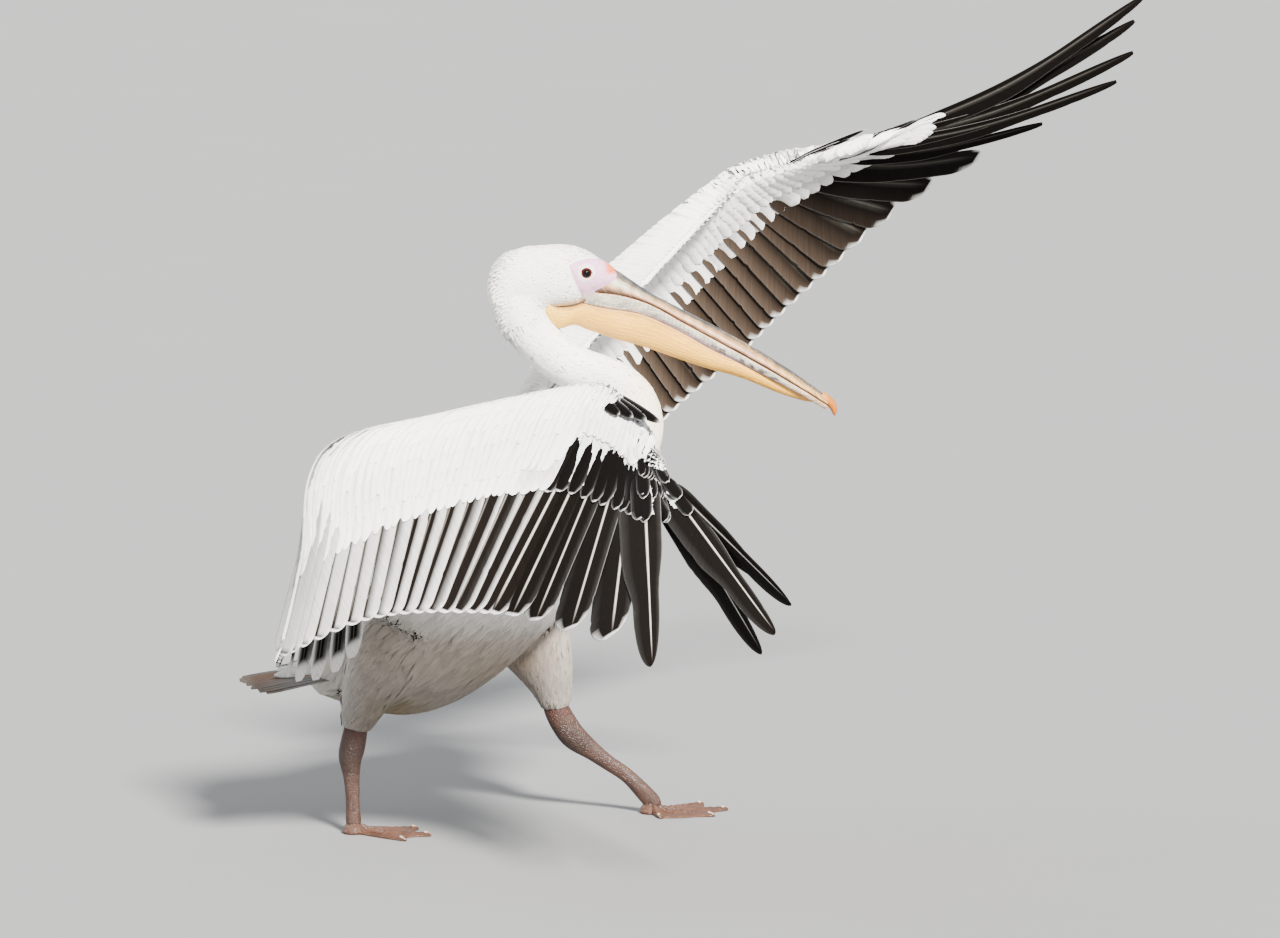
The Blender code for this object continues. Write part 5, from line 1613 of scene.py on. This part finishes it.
def nail(material):
    """The hooked orange nail at the end of the upper bill."""
    s = np.linspace(NAIL_STATIONS[0][0], NAIL_STATIONS[-1][0], 26)[:, None]
    top, bottom, wide = curve(NAIL_STATIONS, s[:, 0]).T[..., None]
    angle = turns(28)[None]
    middle, deep = (top + bottom) / 2, (top - bottom) / 2
    across = wide * np.sign(np.cos(angle)) * np.abs(np.cos(angle)) ** 0.8
    height = middle + deep * np.sin(angle) * (1.0 + 0.10 * np.abs(np.sin(angle)))
    height = height + 0.0009 * bell(across, 0.0022) * (np.sin(angle) > 0)
    tone = paint(across.shape, (0.37, 0.105, 0.0002),
                 ((0.44, 0.17, 0.015), ease(0.392, 0.380, s)),
                 ((0.44, 0.07, 0.002), ease(0.404, 0.411, s) * 0.6))
    return horn_piece("bill_hook", s, across, height, tone, "nail_orange", material, "bill_nail")


# ---------------------------------------------------------------- eyes
def eye(side, sign, skin, eye_look, lid_look):
    """A glossy eyeball and the pale lid ring that closes round it."""
    centre = EYE_AT + np.array((0.0, sign * EYE_SPREAD, 0.0))
    out = unit(np.array((0.10, sign, 0.05)))
    ahead = np.array((1.0, 0.0, -0.30))
    fore = unit(ahead - out * (ahead @ out))
    high = np.cross(out, fore) * sign * -1.0
    turn = turns(EYE_CORNERS)
    around = fore * np.cos(turn)[:, None] + high * np.sin(turn)[:, None]
    tip = np.linspace(0.02, math.pi - 0.02, 40)[:, None]
    radius = EYE_RADIUS * (1.0 + 0.035 * ease(0.55, 0.20, tip))
    ball = loft(f"eyeball_{side}", centre + (out * (radius * np.cos(tip))[..., None]
                                             + around[None] * (radius * np.sin(tip))[..., None]))
    off = np.sin(tip) * EYE_RADIUS
    tone = paint((len(tip), EYE_CORNERS), (0.022, 0.003, 0.002),
                 ((0.060, 0.008, 0.004), bell(off - 0.0062, 0.0010) * 0.7),
                 ((0.020, 0.004, 0.004), ease(0.0072, 0.0082, off)),
                 ((0.0005, 0.0005, 0.0005), ease(0.0056, 0.0049, off)))
    give_tone(ball, np.where(np.cos(tip)[..., None] < 0, 0.02, tone))
    give_vector(ball, "lay", stacked(np.cos(turn) * 2.0, np.sin(turn) * 2.0, off * 60))
    finished(ball, "eye_dark", eye_look, f"eye_{side}")

    # The lid: from the eyeball over a rounded rim and out on to the bare skin.
    fore_turn = (turn + math.pi) % (2 * math.pi) - math.pi
    almond = 1.0 + 0.16 * np.exp(-fore_turn**2 / 0.10)
    almond = almond + 0.07 * np.exp(-((turn - math.pi) ** 2) / 0.10)
    almond = almond - 0.05 * np.exp(-((turn - math.pi / 2) ** 2) / 0.4)
    rings = [centre + out * height + around * (r * almond)[:, None] for r, height in LID_RIM]
    for r, sink in LID_FLANGE:
        guess = centre + out * 0.004 + around * (r * almond**0.6)[:, None]
        found = [skin.tree.find_nearest(Vector(place)) for place in guess]
        rings.append(np.array([np.array(hit[0]) + np.array(hit[1]) * sink for hit in found]))
    points = np.array(rings + [rings[-1] - out * 0.0012, rings[0] - out * 0.0015])
    corner = np.arange(EYE_CORNERS)
    after, last = (corner + 1) % EYE_CORNERS, (len(points) - 1) * EYE_CORNERS
    joined = np.stack([corner + last, after + last, after, corner], axis=1)
    quads = np.concatenate([grid_faces(len(points), EYE_CORNERS), joined])
    lids = make_mesh(f"eyelids_{side}", points, outward(points, [quads]))
    tone = paint((len(points), EYE_CORNERS), (0.80, 0.68, 0.66),
                 (FACE_PINK, np.clip((np.arange(len(points)) - 7) / 3.0, 0, 1)[:, None]))
    # painted shade: the lid darker where it meets the eyeball and on the rim's outer slope
    give_tone(lids, tone * np.array(LID_PAINTED_SHADE)[:, None, None])
    finished(lids, "plumage_white", lid_look)


# ---------------------------------------------------------------- legs and feet
def shank(side, material):
    """Bare shank with its ankle, scaled all round."""
    keys = [(i, *row) for i, row in enumerate(LEGS[side]["tarsus"])]
    values = curve(keys, np.linspace(0, len(keys) - 1, 110))
    centres = values[:, :3]
    ahead = unit(np.gradient(centres, axis=0))
    across = unit(np.array((0.0, 1.0, 0.0)) - ahead * ahead[:, 1:2])
    front = np.cross(ahead, across)
    front = front * np.sign(front[:, :1])
    turn = turns(48)
    length = distances(centres)[:, None]
    shield = np.abs(((length / 0.0052) % 1.0) - 0.5) * 2.0
    plate = -0.0005 * ease(0.75, 1.0, shield) * ease(0.2, 0.8, np.cos(turn))
    knob = 0.0009 * grain(31, length / 0.012, np.cos(turn) * 2.0, np.sin(turn) * 2.0)
    deep = values[:, 3:4] + plate + knob
    wide = values[:, 4:5] + plate + knob
    points = (centres[:, None] + front[:, None] * (deep * np.cos(turn))[..., None]
              + across[:, None] * (wide * np.sin(turn))[..., None])
    made = loft(f"shank_{side}", points)
    z = points[..., 2]
    # the orange-pink skin painted down to dark brown: partly painted shade, for the shadow the legs
    # stand in, partly wet skin
    tone = paint(z.shape, (0.042, 0.015, 0.0075),
                 ((0.052, 0.011, 0.006), ease(0.140, 0.165, z)),
                 ((0.024, 0.013, 0.008), bell(z - 0.113, 0.022) * 0.6),
                 # painted light: the front of the shank lighter, where the light falls on it
                 ((0.066, 0.025, 0.011), ease(0.3, 0.9, np.cos(turn)) * 0.35))
    give_tone(made, tone * (1.0 + 400.0 * plate[..., None]))
    finished(made, "leg_skin", material, f"tarsus_{side}")


def foot(side, material):
    """A flat-soled foot: four toes joined by webs."""
    data = LEGS[side]
    toes, reaches = np.radians([angle for angle, _ in TOES]), np.array([length for _, length in TOES])
    low, high = toes[0], toes[-1]
    web_angles = np.linspace(low - 0.25, high + 0.25, 210)
    heel_angles = np.linspace(high + 0.25, low - 0.25 + 2 * math.pi, 42)[1:-1]
    angle = np.concatenate([web_angles, heel_angles])
    angle = (angle + math.pi) % (2 * math.pi) - math.pi
    off = np.abs(angle[..., None] - toes).min(-1)
    ridge = bell(off, 0.085)
    web = curve(np.c_[toes, reaches], angle)[..., 0] * (0.80 + 0.20 * bell(off, 0.11))
    end = np.where(angle < low, reaches[0], reaches[-1])
    bare = HEEL_RADIUS + (end - HEEL_RADIUS) * bell(off, 0.075)
    reach = np.where((angle >= low) & (angle <= high), web, bare)
    heading = data["heading"] - data["mirror"] * angle
    shares = np.concatenate([[1.0, 1.002], np.linspace(0.995, 0.05, 46)])[:, None]
    radius = reach * shares
    heel = bell(radius, HEEL_RADIUS)
    knuckle = 1.0 + 0.16 * np.sin(radius / 0.0125 * 2 * math.pi)
    height = (WEB_THICKNESS + (HEEL_HEIGHT - WEB_THICKNESS) * heel
              + (TOE_HEIGHT - WEB_THICKNESS) * ridge * (1.0 - 0.55 * shares) * (1.0 - heel) * knuckle)
    creases = grain(33, radius / 0.012, heading * 9.0)
    height = height + 0.00045 * creases * (1.0 - ridge) * (1.0 - heel)
    height = height * np.where(shares > 0.98, 0.55, 1.0)
    height[0] = 0.0
    made = loft(f"webbed_foot_{side}", np.array((*data["foot"], 0.0))
                + stacked(radius * np.cos(heading), radius * np.sin(heading), height))
    # the foot's skin painted dark brown: partly painted shade, partly wet skin
    give_tone(made, paint(radius.shape, (0.085, 0.032, 0.012),
                          ((0.055, 0.017, 0.008), ridge * 0.8),
                          ((0.045, 0.016, 0.008), heel)))
    finished(made, "leg_skin", material, f"foot_{side}")


def claws(side, material):
    """A small claw on each toe."""
    data = LEGS[side]
    turn, up = turns(14), np.array((0.0, 0.0, 1.0))
    t = np.linspace(0.0, 1.0, 9)
    size = 0.0026 * np.sqrt(np.clip(1.0 - t**1.6, 0.006, 1.0))[:, None]
    points = []
    for toe, length in TOES:
        way = data["heading"] - data["mirror"] * math.radians(toe)
        ahead = np.array((math.cos(way), math.sin(way), 0.0))
        across = np.array((-math.sin(way), math.cos(way), 0.0))
        middle = (np.array((*data["foot"], 0.0)) + ahead * (length - 0.010 + 0.011 * t)[:, None]
                  + up * (0.0058 - 0.0035 * t**2)[:, None])
        points.append(middle[:, None] + across * (size * np.cos(turn))[..., None]
                      + up * (size * 0.85 * np.sin(turn))[..., None])
    points = np.array(points)
    shape = points.shape[:3]
    made = make_mesh(f"claws_{side}", points, outward(points, solids(*shape)))
    t = t[:, None]
    give_tone(made, paint(shape, (0.42, 0.30, 0.20), ((0.10, 0.07, 0.055), t)))
    give_vector(made, "lay", np.broadcast_to(stacked(t * 0.01, turn * 0.003, 0.0), points.shape))
    finished(made, "leg_skin", material)


# ---------------------------------------------------------------- studio
# each light: its name, the way it shines, strength, angular size in degrees, colour
LIGHTS = (
    ("key", (-0.28, 0.72, -0.64), 22.0, 10.0, (1.0, 0.965, 0.915)),
    ("rim", (0.70, -0.55, -0.55), 1.5, 25.0, (0.95, 0.97, 1.0)),
)


def studio():
    """Pale floor, soft lights and the camera."""
    bm = bmesh.new()
    bmesh.ops.create_circle(bm, cap_ends=True, segments=96, radius=70.0)
    mesh = bpy.data.meshes.new("floor")
    bm.to_mesh(mesh)
    bm.free()
    floor = bpy.data.objects.new("floor", mesh)
    bpy.context.scene.collection.objects.link(floor)
    floor.data.materials.append(floor_material())

    world = bpy.data.worlds.new("studio")
    world.use_nodes = True
    sky = world.node_tree.nodes["Background"]
    sky.inputs["Color"].default_value = (0.93, 0.96, 1.0, 1.0)
    sky.inputs["Strength"].default_value = 1.20
    bpy.context.scene.world = world

    for name, way, energy, size, colour in LIGHTS:
        data = bpy.data.lights.new(name, "SUN")
        data.energy = energy
        data.angle = math.radians(size)
        data.color = colour
        lamp = bpy.data.objects.new(name, data)
        lamp.rotation_mode = "QUATERNION"
        lamp.rotation_quaternion = Vector(way).to_track_quat("-Z", "Y")
        bpy.context.scene.collection.objects.link(lamp)

    data = bpy.data.cameras.new("camera")
    data.sensor_width = 36.0
    data.lens = 36.0 * CAMERA_DISTANCE / VIEW_WIDTH
    data.clip_end = 200.0
    camera = bpy.data.objects.new("camera", data)
    look = Vector((0.0, math.cos(CAMERA_RISE), -math.sin(CAMERA_RISE)))
    camera.location = Vector(VIEW_CENTRE + SHIFT) - look * CAMERA_DISTANCE
    camera.rotation_mode = "QUATERNION"
    camera.rotation_quaternion = look.to_track_quat("-Z", "Y")
    bpy.context.scene.collection.objects.link(camera)
    bpy.context.scene.camera = camera


def main():
    studio()
    soft = feather_material("plumage", barb_width=0.0009, contrast=0.07, sheen=0.10, specular=0.12)
    stiff = feather_material("flight_feathers", barb_width=0.0011, contrast=0.24, sheen=0.0,
                             specular=0.02)
    bare = skin_material()
    horn = horn_material("horn", roughness=0.48, streak_scale=420.0, depth=0.0006, contrast=0.48,
                         warm=(0.42, 0.27, 0.12), coat=0.08)
    pouch_look = horn_material("pouch", roughness=0.50, streak_scale=620.0, depth=0.0008,
                               contrast=0.26, warm=(0.84, 0.50, 0.12), coat=0.02)
    nail_look = horn_material("nail", roughness=0.48, streak_scale=300.0, depth=0.0002,
                              contrast=0.14, warm=(0.42, 0.12, 0.002), coat=0.0)
    claw_look = horn_material("claw", roughness=0.35, streak_scale=300.0, depth=0.0002,
                              contrast=0.20, warm=(0.30, 0.20, 0.14), coat=0.4)
    scales = leg_material()
    wet = eye_material()

    wings = [Wing("right"), Wing("left")]
    skin = Skin(wings)
    skin.build(bare)
    body_coat(skin, soft)
    seeds = {"right": 70, "left": 80}
    for wing in wings:
        side = wing.side
        for face, view in ((1, "upper"), (-1, "under")):
            for stretch, low, high in (("arm", 0.05, 1.0), ("hand", 1.0, 2.93)):
                seed = seeds[side] + (1 if face > 0 else 0) + (2 if stretch == "arm" else 0)
                coverts(wing, face, low, high, f"coverts_{side}_{view}_{stretch}", soft, stiff, seed)
        flight(wing, stiff)
        bastard_wing(wing, stiff)
        shank(side, scales)
        foot(side, scales)
        claws(side, claw_look)
        eye(side, 1.0 if side == "left" else -1.0, skin, wet, bare)
    tail(soft)
    tail_coverts(soft)
    bill_upper(horn)
    bill_lower(horn)
    pouch(pouch_look)
    nail(nail_look)


main()
